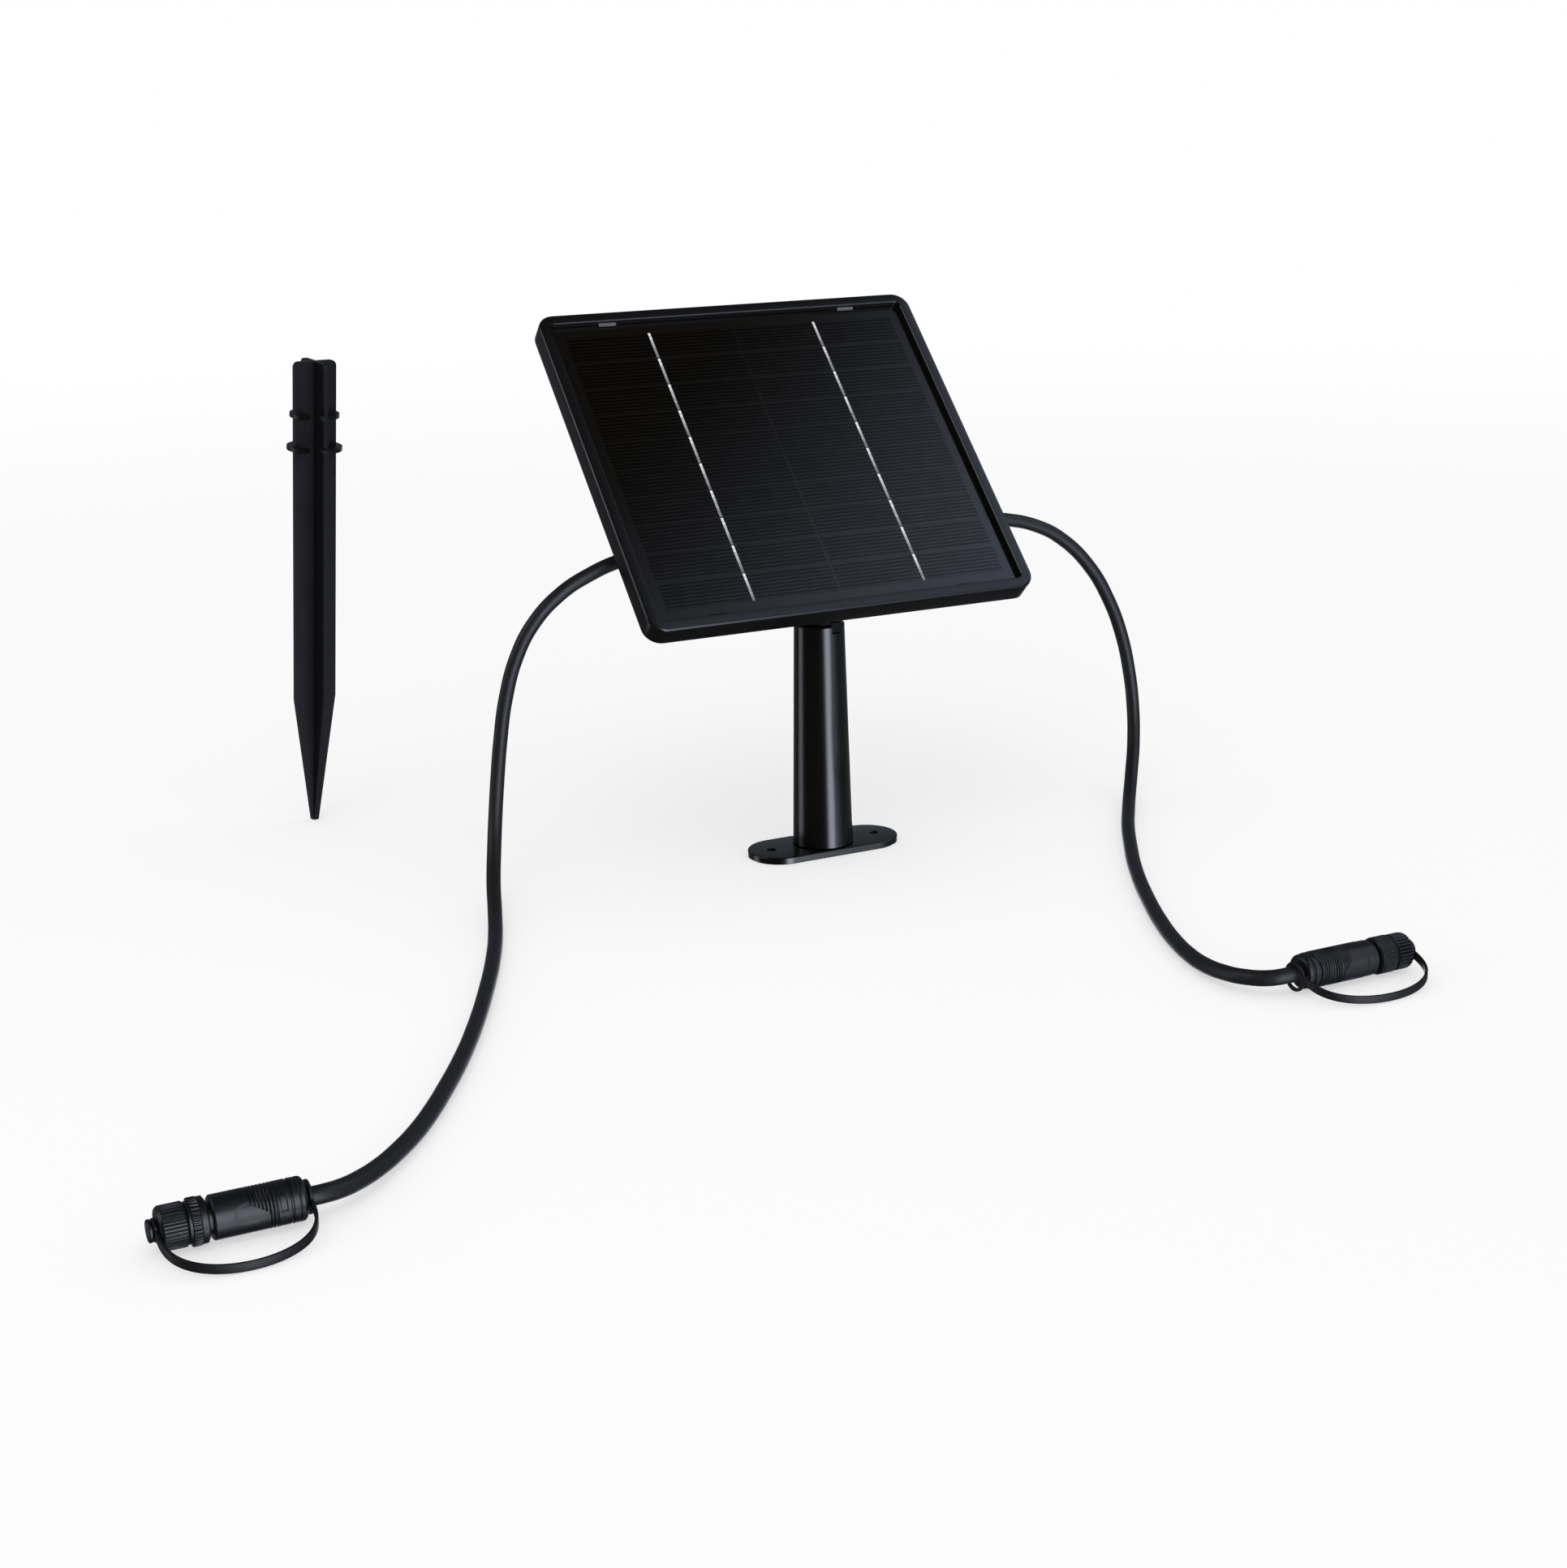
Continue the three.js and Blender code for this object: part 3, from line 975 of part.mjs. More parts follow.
/** The strap: an eye on the cap's neck, a band that loops out and down to the ground, an eye on the cord. */
function capStrap({ strapSide, ...plug }) {
  const { eyeMiddle } = plugStations(plug);
  const capEye = CAP_NECK_RADIUS + FIT;
  const cordEye = CORD_RADIUS + CORD_EYE_PLAY;
  const rearMiddle = -STRAP_FROM_BODY;
  const drop = PLUG_AXIS_HEIGHT - STRAP_WIDTH / 2 - GAP / 2;
  const points = [];
  for (let i = 0; i <= STRAP_STEPS; i += 1) {
    const turn = (Math.PI * i) / STRAP_STEPS;
    const share = THREE.MathUtils.smootherstep(i, 0, STRAP_STEPS);
    const x = eyeMiddle + (rearMiddle - eyeMiddle) * share;
    const start = capEye + (cordEye - capEye) * share + STRAP_EYE_WALL / 2;
    const y = start + (STRAP_REACH - STRAP_THICKNESS / 2 - start) * Math.sin(turn);
    points.push(new THREE.Vector3(x, strapSide * y, -drop * Math.sin(turn)));
  }
  if (strapSide < 0) {
    points.reverse();
  }
  const half = STRAP_THICKNESS / 2;
  const eyes = [[capEye, eyeMiddle], [cordEye, rearMiddle]].map(([radius, middle]) => {
    const outline = ringOutline(radius + STRAP_EYE_WALL, radius);
    return solid(prism(outline, middle - half, middle + half, { curveSegments: 12 }).rotateY(Math.PI / 2));
  });
  return joined(solid(ribbon(points, STRAP_THICKNESS, STRAP_WIDTH)), ...eyes);
}

function makePlug(plug) {
  const group = new THREE.Group();
  group.position.set(...plug.rear, PLUG_AXIS_HEIGHT);
  group.rotation.z = THREE.MathUtils.degToRad(plug.heading);
  add(group, `plug_body_${plug.side}`, plugBody(plug), plugBlack);
  add(group, `plug_seal_${plug.side}`, plugSeal(plug), rubberBlack);
  add(group, `plug_insert_${plug.side}`, plugInsert(plug), insertGrey);
  add(group, `plug_pin_${plug.side}_upper`, plugPin(plug, 1), goldPin);
  add(group, `plug_pin_${plug.side}_lower`, plugPin(plug, -1), goldPin);
  add(group, `coupling_nut_${plug.side}`, couplingNut(plug), plugBlack);
  add(group, `plug_cap_${plug.side}`, plugCap(plug), plugBlack);
  add(group, `cap_strap_${plug.side}`, capStrap(plug), rubberBlack);
  return group;
}

// ---------------------------------------------------------------- the whole unit

const unit = new THREE.Group();
unit.add(makeStand());
unit.add(makePanel());
add(unit, "cord_left", cord(LEFT_CORD), rubberBlack);
add(unit, "cord_right", cord(RIGHT_CORD), rubberBlack);
unit.add(makePlug(LEFT_PLUG));
unit.add(makePlug(RIGHT_PLUG));

export default unit;
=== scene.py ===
"""A garden solar unit, dressed: a tilting solar panel on a post, two corded plugs and a ground spike.

Shapes are drawn in millimetres in their sub-assembly's own axes, and placed in metres in the part's frame.
"""

import json
import logging
import math
from dataclasses import dataclass
from enum import Enum
from typing import Callable, Mapping, NamedTuple, Sequence, Union

import bmesh
import bpy
from mathutils import Matrix, Vector


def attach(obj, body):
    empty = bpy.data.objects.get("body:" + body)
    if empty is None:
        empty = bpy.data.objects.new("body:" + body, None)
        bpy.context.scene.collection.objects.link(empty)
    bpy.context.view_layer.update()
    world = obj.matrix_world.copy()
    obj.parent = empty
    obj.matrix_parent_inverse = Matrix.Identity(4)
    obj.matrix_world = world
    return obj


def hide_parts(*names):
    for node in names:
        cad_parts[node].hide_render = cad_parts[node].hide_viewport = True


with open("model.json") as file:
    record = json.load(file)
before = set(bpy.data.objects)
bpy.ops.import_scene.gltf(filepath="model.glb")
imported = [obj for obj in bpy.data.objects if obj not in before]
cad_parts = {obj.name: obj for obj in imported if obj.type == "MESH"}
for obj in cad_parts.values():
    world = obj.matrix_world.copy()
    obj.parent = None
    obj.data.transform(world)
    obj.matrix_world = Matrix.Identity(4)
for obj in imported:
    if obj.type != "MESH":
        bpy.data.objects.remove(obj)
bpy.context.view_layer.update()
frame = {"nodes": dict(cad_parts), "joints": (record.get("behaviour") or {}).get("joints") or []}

LOG = logging.getLogger("solar_unit")
MM = 0.001
GAP = 0.3  # between pieces that rest on each other, in millimetres
CUT_PAST = 1.0  # how far a cutting shape runs past what it cuts, in millimetres
SAME_POINT = 1e-4  # points nearer than this are merged, in millimetres
SAME_NODE_POINT = 1e-3  # the same, in a copy of a node's mesh
SAME_PLANE = math.radians(0.4)  # faces that meet flatter than this are merged
CREASE = 32.0  # the angle in degrees past which an edge is sharp
TURNED_CREASE = 40.0  # the same, for turned shapes with few sides
TILT = math.radians(45)

Colour = tuple[float, float, float]
Point = tuple[float, float]
Place = tuple[float, float, float]
Number = Union[float, "Value"]
Shape = bmesh.types.BMesh
Outline = list[bmesh.types.BMEdge]


# ---------------------------------------------------------------- shader sums


class Value:
    """A shader socket that takes part in sums; each sum on it adds the node for it."""

    def __init__(self, paint: "Paint", socket: bpy.types.NodeSocket) -> None:
        """Keeps the socket and the tree that it is in."""
        self.paint = paint
        self.socket = socket

    def math(self, operation: str, *others: Number) -> "Value":
        """Puts this value, and others after it, through one Math node."""
        return self.paint.math(operation, self, *others)

    def __add__(self, other: Number) -> "Value":
        """self + other"""
        return self.math("ADD", other)

    def __sub__(self, other: Number) -> "Value":
        """self - other"""
        return self.math("SUBTRACT", other)

    def __rsub__(self, other: float) -> "Value":
        """other - self"""
        return self.paint.math("SUBTRACT", other, self)

    def __mul__(self, other: Number) -> "Value":
        """self * other"""
        return self.math("MULTIPLY", other)

    def __truediv__(self, other: Number) -> "Value":
        """self / other"""
        return self.math("DIVIDE", other)

    def __abs__(self) -> "Value":
        """The value without its sign."""
        return self.math("ABSOLUTE")

    __radd__ = __add__
    __rmul__ = __mul__

    def rises(self, start: float, end: float) -> "Value":
        """A smooth step from 0 at start to 1 at end; it falls where end lies below start."""
        sockets = {"Value": self, "From Min": start, "From Max": end}
        return self.paint.value("ShaderNodeMapRange", {"interpolation_type": "SMOOTHSTEP"}, sockets)

    def from_line(self, pitch: float) -> "Value":
        """The distance to the nearest of the lines that repeat at this pitch, one of them at 0."""
        return abs((self / pitch + 0.5).math("FRACT") - 0.5) * pitch


class Paint:
    """One node tree in the making."""

    def __init__(self, tree: bpy.types.NodeTree) -> None:
        """Starts on an emptied tree."""
        self.tree = tree
        tree.nodes.clear()

    def node(
        self, kind: str, settings: Mapping[str, object], sockets: Mapping[Union[int, str], object]
    ) -> bpy.types.Node:
        """Adds one node.

        Args:
            kind: The node's type.
            settings: Its own properties, which are set first.
            sockets: Values or links for its inputs, by name or by place.

        Returns:
            The node.
        """
        node = self.tree.nodes.new(kind)
        for name, setting in settings.items():
            setattr(node, name, setting)
        for key, content in sockets.items():
            if isinstance(content, Value):
                self.tree.links.new(content.socket, node.inputs[key])
            else:
                node.inputs[key].default_value = content
        return node

    def value(
        self,
        kind: str,
        settings: Mapping[str, object],
        sockets: Mapping[Union[int, str], object],
        output: Union[int, str] = 0,
    ) -> Value:
        """Adds one node, as node does, and returns one of its outputs."""
        return Value(self, self.node(kind, settings, sockets).outputs[output])

    def math(self, operation: str, *values: Number) -> Value:
        """One Math node on one to three values."""
        return self.value("ShaderNodeMath", {"operation": operation}, dict(enumerate(values)))

    def place(self) -> Value:
        """Where a point lies in the part's frame, in metres."""
        return self.value("ShaderNodeTexCoord", {}, {}, "Object")

    def split(self, vector: Value) -> list[Value]:
        """A vector's three numbers."""
        node = self.node("ShaderNodeSeparateXYZ", {}, {"Vector": vector})
        return [Value(self, socket) for socket in node.outputs]

    def noise(self, place: Value, size: float, detail: float = 2.0) -> Value:
        """Smooth noise about 0.5, with features of this size in millimetres."""
        sockets = {"Vector": place, "Scale": 1 / (size * MM), "Detail": detail}
        return self.value("ShaderNodeTexNoise", {}, sockets)

    def mix(self, amount: Number, first: Union[Colour, Value], second: Union[Colour, Value]) -> Value:
        """A colour that goes from first to second as amount goes from 0 to 1."""
        sockets = {0: amount, 6: opaque(first), 7: opaque(second)}
        return self.value("ShaderNodeMix", {"data_type": "RGBA"}, sockets, 2)

    def tint(self, colour: Union[Colour, Value], amount: Number) -> Value:
        """A colour times a number."""
        return self.value("ShaderNodeVectorMath", {"operation": "SCALE"}, {0: colour, 3: amount})

    def sum(self, first: Value, second: Value) -> Value:
        """Two colours added."""
        return self.value("ShaderNodeVectorMath", {"operation": "ADD"}, {0: first, 1: second})

    def bump(self, height: Value, depth: float) -> Value:
        """A normal that follows a height from 0 to 1, over a depth in millimetres."""
        return self.value("ShaderNodeBump", {}, {"Height": height, "Distance": depth * MM})


def opaque(colour: Union[Colour, Value]) -> object:
    """A colour with its alpha, or a shader value as it is."""
    return colour if isinstance(colour, Value) else (*colour, 1.0)


def new_material(name: str) -> tuple[bpy.types.Material, Paint]:
    """Adds an empty material.

    Args:
        name: Its name.

    Returns:
        The material, and the paint for its nodes.
    """
    material = bpy.data.materials.new(name)
    material.use_nodes = True
    return material, Paint(material.node_tree)


# ---------------------------------------------------------------- finishes


@dataclass(frozen=True)
class Finish:
    """What every finish has: its name, and the record's material slot that it stands for."""

    name: str
    slot: str

    def sockets(self, paint: Paint) -> dict[str, object]:
        """The surface shader's values and links, by socket."""
        raise NotImplementedError

    def material(self) -> bpy.types.Material:
        """Makes the finish's material at its first use.

        Returns:
            The material.
        """
        made = bpy.data.materials.get(f"{self.name}_finish")
        if made is None:
            made, paint = new_material(f"{self.name}_finish")
            surface = paint.value("ShaderNodeBsdfPrincipled", {}, self.sockets(paint))
            paint.node("ShaderNodeOutputMaterial", {}, {"Surface": surface})
        return made


@dataclass(frozen=True)
class Moulded(Finish):
    """Moulded plastic or rubber: cloudy in tone and gloss, with a fine eroded grain."""

    colour: Colour
    roughness: float
    specular: float = 0.5
    cloud: float = 14.0
    cloud_detail: float = 3.0
    tone_share: float = 0.22
    gloss_share: float = 0.16
    grain: float = 0.45
    grain_depth: float = 0.012

    def sockets(self, paint: Paint) -> dict[str, object]:
        """Clouds drive tone and gloss, and the grain drives the bump.

        Args:
            paint: The material in the making.

        Returns:
            The surface shader's values and links, by socket.
        """
        place = paint.place()
        cloud = paint.noise(place, self.cloud, self.cloud_detail) - 0.5
        return {
            "Base Color": paint.tint(self.colour, 1.0 + cloud * (2 * self.tone_share)),
            "Roughness": self.roughness * (1.0 + cloud * (2 * self.gloss_share)),
            "Specular IOR Level": self.specular,
            "Normal": paint.bump(paint.noise(place, self.grain), self.grain_depth),
        }


@dataclass(frozen=True)
class PlatedMetal(Finish):
    """Plated metal with faint stains."""

    colour: Colour
    stained: Colour
    roughness: float
    metallic: float = 1.0
    stain: float = 1.6
    stain_detail: float = 4.0
    sharpness: float = 0.12
    dulling: float = 0.15  # what a stain adds to the roughness
    grain: float = 0.3
    grain_depth: float = 0.01

    def sockets(self, paint: Paint) -> dict[str, object]:
        """Stains drive the colour and the gloss.

        Args:
            paint: The material in the making.

        Returns:
            The surface shader's values and links, by socket.
        """
        place = paint.place()
        stain = paint.noise(place, self.stain, self.stain_detail)
        stain = stain.rises(0.5 - self.sharpness, 0.5 + self.sharpness)
        return {
            "Base Color": paint.mix(stain, self.colour, self.stained),
            "Roughness": self.roughness + stain * self.dulling,
            "Metallic": self.metallic,
            "Normal": paint.bump(paint.noise(place, self.grain), self.grain_depth),
        }


@dataclass(frozen=True)
class CircuitBoard(Finish):
    """Solder mask over copper tracks."""

    mask: Colour = (0.01, 0.09, 0.04)
    copper: Colour = (0.03, 0.2, 0.08)
    pitch: float = 2.54
    track_edge: Point = (0.45, 0.35)  # from bare mask to full copper
    roughness: float = 0.4
    track_gloss: float = 0.1

    def sockets(self, paint: Paint) -> dict[str, object]:
        """Tracks show as paler lines under the mask.

        Args:
            paint: The material in the making.

        Returns:
            The surface shader's values and links, by socket.
        """
        across = paint.split(paint.place())[0]
        track = (across / MM).from_line(self.pitch).rises(*self.track_edge)
        return {
            "Base Color": paint.mix(track, self.mask, self.copper),
            "Roughness": self.roughness - track * self.track_gloss,
        }


@dataclass(frozen=True)
class PanelFinish(Finish):
    """A finish that follows the rows of cells on the panel's front."""

    middle: Vector  # of the laminate's front face, in metres
    half_width: float  # of the cells together, in millimetres
    row_pitch: float
    rows: int

    @property
    def half_height(self) -> float:
        """Half the height of the cells together."""
        return self.rows * self.row_pitch / 2

    def across_and_up(self, paint: Paint) -> tuple[Value, Value]:
        """Finds where a point lies on the panel.

        Args:
            paint: The material in the making.

        Returns:
            Its millimetres across and up from the laminate's middle.
        """
        back = Matrix.Rotation(-TILT, 4, "X")
        mapping = {
            "Vector": paint.place(),
            "Location": -(back @ self.middle) / MM,
            "Rotation": (-TILT, 0.0, 0.0),
            "Scale": (1 / MM, 1 / MM, 1 / MM),
        }
        across, up, _ = paint.split(paint.value("ShaderNodeMapping", {"vector_type": "POINT"}, mapping))
        return across, up


@dataclass(frozen=True)
class SolarLaminate(PanelFinish):
    """Dark cells under a clear laminate: rows, a middle seam and fine printed conductors."""

    cell: Colour = (0.0012, 0.0009, 0.0004)
    conductor: Colour = (0.0044, 0.0038, 0.0026)
    conductor_pitch: float = 1.76
    conductor_half: float = 0.4
    seam_half: float = 0.5
    blur: float = 0.16
    uneven_size: float = 7.0
    uneven: Point = (0.2, 1.3)  # the conductors' least strength, and what the noise adds to it
    seam_share: float = 0.9
    dullest: float = 0.6  # the least weight of the clear coat
    roughness: float = 0.1

    def sockets(self, paint: Paint) -> dict[str, object]:
        """The conductors, the seams and the border are paler and glossier than the cells.

        Args:
            paint: The material in the making.

        Returns:
            The surface shader's values and links, by socket.
        """
        across, up = self.across_and_up(paint)
        cells = self.within(abs(across), self.half_width) * self.within(abs(up), self.half_height)
        least, more = self.uneven
        wobble = paint.noise(paint.place(), self.uneven_size) * more + least
        line = self.within(up.from_line(self.conductor_pitch), self.conductor_half) * wobble
        row = self.within((up + self.half_height).from_line(self.row_pitch), self.seam_half)
        seam = row.math("MAXIMUM", self.within(abs(across), self.seam_half))
        lit = line.math("MAXIMUM", seam * self.seam_share).math("MAXIMUM", 1.0 - cells)
        return {
            "Base Color": paint.mix(lit, self.cell, self.conductor),
            "Specular IOR Level": 0.0,
            "Coat Weight": self.dullest + lit * (1.0 - self.dullest),
            "Coat Roughness": self.roughness,
        }

    def within(self, distance: Value, half: float) -> Value:
        """1 where a distance is under half, and 0 past it, with a soft edge."""
        return distance.rises(half + self.blur, half - self.blur)


@dataclass(frozen=True)
class TinnedRibbon(PanelFinish):
    """Tinned ribbons with stains, each with a painted sheen at its upper end that fades to painted shade toward
    its lower end.
    """

    # the two ends of each ribbon's painted shading: painted shade at the lower end, painted sheen at the upper
    painted_shade_tin: Colour = (0.19, 0.19, 0.195)
    light: Colour = (0.72, 0.72, 0.74)
    roughness: float = 0.42
    metallic: float = 0.35
    blotch: float = 2.2
    blotch_detail: float = 3.0
    blotch_share: float = 0.9
    fade: Point = (-0.1, 0.95)  # where along a ribbon the painted shade turns to painted sheen, as shares of a row
    gloss_gain: float = 0.1

    def sockets(self, paint: Paint) -> dict[str, object]:
        """The place along each ribbon drives a painted sheen and shade in the colour, and noise stains break it
        up.

        Args:
            paint: The material in the making.

        Returns:
            The surface shader's values and links, by socket.
        """
        _, up = self.across_and_up(paint)
        share = ((up + self.half_height) / self.row_pitch).math("FRACT")
        blotches = paint.noise(paint.place(), self.blotch, self.blotch_detail) - 0.5
        # painted sheen and shade along each ribbon, plus random stains
        uneven = share + blotches * self.blotch_share
        return {
            "Base Color": paint.mix(uneven.rises(*self.fade), self.painted_shade_tin, self.light),
            "Roughness": self.roughness + share * -self.gloss_gain,
            "Metallic": self.metallic,
        }


FRAME_PLASTIC = Moulded("satin_frame", "frame_plastic", (0.0045, 0.0045, 0.0045), 0.22, 0.34)
CLIP_PLASTIC = Moulded("matt_clip", "frame_plastic", (0.125, 0.13, 0.135), 0.6, grain_depth=0.02)
POST_PLASTIC = Moulded("glossy_post", "post_plastic", (0.0028, 0.0026, 0.0022), 0.2, grain_depth=0.004)
SPIKE_PLASTIC = Moulded("dull_spike", "post_plastic", (0.003, 0.003, 0.003), 0.34, 0.28, grain_depth=0.006)
# The neck is housing plastic painted darker and with little gloss: painted shade inside the post's keyway.
SHADE_PAINTED_NECK = Moulded("shade_painted_neck", "housing_plastic", (0.004, 0.004, 0.004), 0.5, specular=0.06)
HOUSING_PLASTIC = Moulded("matt_housing", "housing_plastic", (0.0105, 0.011, 0.012), 0.46, grain_depth=0.02)
PLUG_PLASTIC = Moulded("matt_plug", "plug_plastic", (0.004, 0.0043, 0.005), 0.4, specular=0.42)
CORD_RUBBER = Moulded("cord_jacket", "black_rubber", (0.0085, 0.009, 0.01), 0.48, specular=0.32, cloud=30.0)
STRAP_RUBBER = Moulded("strap_rubber", "black_rubber", (0.0055, 0.0057, 0.0062), 0.5, specular=0.28)
SEAL_RUBBER = Moulded("soft_rubber", "black_rubber", (0.012, 0.012, 0.0125), 0.65, specular=0.35)
INSERT_PLASTIC = Moulded("contact_insert", "insert_plastic", (0.09, 0.1, 0.11), 0.55)
CELL_SLEEVE = Moulded("cell_sleeve", "cell", (0.02, 0.08, 0.22), 0.35, cloud=5.0)
ZINC_STEEL = PlatedMetal("bright_zinc", "zinc_steel", (0.5, 0.52, 0.55), (0.36, 0.37, 0.39), 0.3)
GOLD_BRASS = PlatedMetal("gold_pin", "gold_brass", (0.72, 0.5, 0.2), (0.58, 0.38, 0.14), 0.25)
SOLDER = PlatedMetal("solder_dot", "zinc_steel", (0.8, 0.8, 0.8), (0.95, 0.95, 0.95), 0.45, 0.1)
BOARD = CircuitBoard("solder_mask", "board")


# ---------------------------------------------------------------- places and bodies


class Body(Enum):
    """The bodies that pieces ride on."""

    STAND = "stand"
    PANEL = "panel"
    BUTTON = "button"
    NUT_LEFT = "nut_left"
    NUT_RIGHT = "nut_right"
    CAP_LEFT = "cap_left"
    CAP_RIGHT = "cap_right"


class Side(Enum):
    """The left or the right one, as seen from the front."""

    LEFT = "left"
    RIGHT = "right"

    @property
    def sign(self) -> int:
        """-1 on the left and 1 on the right, as X goes."""
        return -1 if self is Side.LEFT else 1


class Box(NamedTuple):
    """A box in millimetres."""

    low: Vector
    high: Vector

    @property
    def size(self) -> Vector:
        """Its three lengths."""
        return self.high - self.low

    @property
    def middle(self) -> Vector:
        """Its middle."""
        return (self.low + self.high) / 2


@dataclass(frozen=True)
class Axes:
    """A sub-assembly's own axes in millimetres, within the part's frame in metres."""

    origin: Vector
    turn: Matrix

    @property
    def matrix(self) -> Matrix:
        """The way from these axes to the part's frame."""
        return Matrix.Translation(self.origin) @ self.turn @ Matrix.Scale(MM, 4)

    def box(self, node: str) -> Box:
        """Measures a node along these axes.

        Args:
            node: The node.

        Returns:
            Its box.
        """
        back = self.matrix.inverted()
        points = [back @ vertex.co for vertex in frame["nodes"][node].data.vertices]
        low = Vector([min(point[i] for point in points) for i in range(3)])
        high = Vector([max(point[i] for point in points) for i in range(3)])
        return Box(low, high)


PART_AXES = Axes(Vector((0, 0, 0)), Matrix.Identity(4))
TILT_JOINT = next(joint for joint in frame["joints"] if joint["name"] == "panel_tilt")
PANEL_AXES = Axes(Vector(TILT_JOINT["pos_m"]), Matrix.Rotation(TILT, 4, "X"))
Z_TO_X = Matrix.Rotation(math.radians(90), 4, "Y")


# ---------------------------------------------------------------- making shapes


def rounded_outline(
    shape: Shape, size: Point, corner: float, place: Matrix = Matrix.Identity(4), steps: int = 6
) -> Outline:
    """Draws a flat rectangle with round corners.

    Args:
        shape: The mesh that it is added to.
        size: Its width and height.
        corner: The radius of its corners.
        place: Where its middle lies, and how it is turned.
        steps: The edges in each corner.

    Returns:
        Its edges.
    """
    flat = Matrix.Diagonal((*size, 1.0, 1.0))
    corners = bmesh.ops.create_grid(shape, x_segments=1, y_segments=1, size=0.5, matrix=flat)["verts"]
    bevelled = bmesh.ops.bevel(
        shape, geom=corners, offset=corner, offset_type="OFFSET", affect="VERTICES",
        segments=steps, profile=0.5, material=-1,
    )
    face = max(bevelled["verts"][0].link_faces, key=lambda face: face.calc_area())
    edges, points = list(face.edges), list(face.verts)
    bmesh.ops.delete(shape, geom=[face], context="FACES_ONLY")
    bmesh.ops.transform(shape, matrix=place, verts=points)
    return edges


def skin(shape: Shape, outlines: Sequence[Outline]) -> Shape:
    """Joins outlines in turn, and closes both ends with a face.

    Args:
        shape: The mesh that holds them.
        outlines: The outlines, from one end to the other.

    Returns:
        The same mesh.
    """
    for end in (outlines[0], outlines[-1]):
        bmesh.ops.contextual_create(shape, geom=end)
    for first, second in zip(outlines, outlines[1:]):
        bmesh.ops.bridge_loops(shape, edges=[*first, *second])
    return shape


def swept_round(
    size: Point, corner: float, section: Sequence[Point], least: float, steps: int, closed: bool
) -> Shape:
    """Runs a section round a rectangle with round corners.

    Args:
        size: The rectangle's width and height.
        corner: The radius of its corners.
        section: Points of (distance in from the rectangle's sides, height).
        least: The least radius that a corner further in has.
        steps: The edges in each corner.
        closed: Whether the section's last point is joined to its first; otherwise both ends get a face.

    Returns:
        The shape, round the origin.
    """

    def ring(inset: float) -> tuple[float, float, float]:
        """Where the middles of the corners lie at an inset, and the corners' radius."""
        radius = max(corner - inset, least)
        return size[0] / 2 - inset - radius, size[1] / 2 - inset - radius, radius

    shape = bmesh.new()
    inset, height = section[0]
    flat = (size[0] - 2 * inset, size[1] - 2 * inset)
    edges = rounded_outline(shape, flat, ring(inset)[2], Matrix.Translation((0, 0, height)), steps)
    ends = [edges]
    for next_inset, next_height in [*section[1:], *section[:1 if closed else 0]]:
        (x, y, radius), (next_x, next_y, next_radius) = ring(inset), ring(next_inset)
        grown = bmesh.ops.extrude_edge_only(shape, edges=edges)["geom"]
        edges = [part for part in grown if isinstance(part, bmesh.types.BMEdge) and part.is_boundary]
        for vertex in (part for part in grown if isinstance(part, bmesh.types.BMVert)):
            middle = Vector((math.copysign(x, vertex.co.x), math.copysign(y, vertex.co.y)))
            ray = (vertex.co.xy - middle) * next_radius / radius
            next_middle = Vector((math.copysign(next_x, middle.x), math.copysign(next_y, middle.y)))
            vertex.co = (*(next_middle + ray), next_height)
        inset = next_inset
    if not closed:
        for end in (*ends, edges):
            bmesh.ops.contextual_create(shape, geom=end)
    return shape


def spun(profile: Sequence[Point], steps: int, closed: bool = False) -> Shape:
    """Turns a profile of (radius, height) round the Z axis.

    Args:
        profile: The profile's points in turn.
        steps: The sides of the turned shape.
        closed: Whether the last point is joined to the first.

    Returns:
        The turned shape.
    """
    shape = bmesh.new()
    corners = [shape.verts.new((radius, 0.0, height)) for radius, height in profile]
    pairs = list(zip(corners, corners[1:]))
    if closed:
        pairs.append((corners[-1], corners[0]))
    edges = [shape.edges.new(pair) for pair in pairs]
    bmesh.ops.spin(
        shape, geom=[*corners, *edges], axis=(0, 0, 1), cent=(0, 0, 0), angle=2 * math.pi,
        steps=steps, use_merge=True,
    )
    bmesh.ops.remove_doubles(shape, verts=shape.verts, dist=SAME_POINT)
    return shape


def arc(centre: Point, radius: float, start: float, end: float, steps: int = 5) -> list[Point]:
    """Points on an arc of a profile, from one angle to another, in degrees."""
    angles = [math.radians(start + (end - start) * i / steps) for i in range(steps + 1)]
    return [(centre[0] + radius * math.cos(a), centre[1] + radius * math.sin(a)) for a in angles]


def slab(low: Sequence[float], high: Sequence[float]) -> Shape:
    """Makes a rectangular block.

    Args:
        low: Its lowest corner.
        high: Its highest corner.

    Returns:
        The block.
    """
    shape = bmesh.new()
    low, high = Vector(low), Vector(high)
    place = Matrix.Translation((low + high) / 2) @ Matrix.Diagonal((*(high - low), 1.0))
    bmesh.ops.create_cube(shape, size=1.0, matrix=place)
    return shape


def as_mesh(shape: Shape, name: str) -> bpy.types.Mesh:
    """A shape as a mesh; the shape is freed.

    Args:
        shape: The shape.
        name: The mesh's name.

    Returns:
        The mesh.
    """
    mesh = bpy.data.meshes.new(name)
    shape.to_mesh(mesh)
    shape.free()
    return mesh


def in_scene(name: str, data: bpy.types.ID) -> bpy.types.Object:
    """Puts a new object in the scene.

    Args:
        name: Its name.
        data: Its mesh, curve, camera or light.

    Returns:
        The object.
    """
    made = bpy.data.objects.new(name, data)
    bpy.context.scene.collection.objects.link(made)
    return made


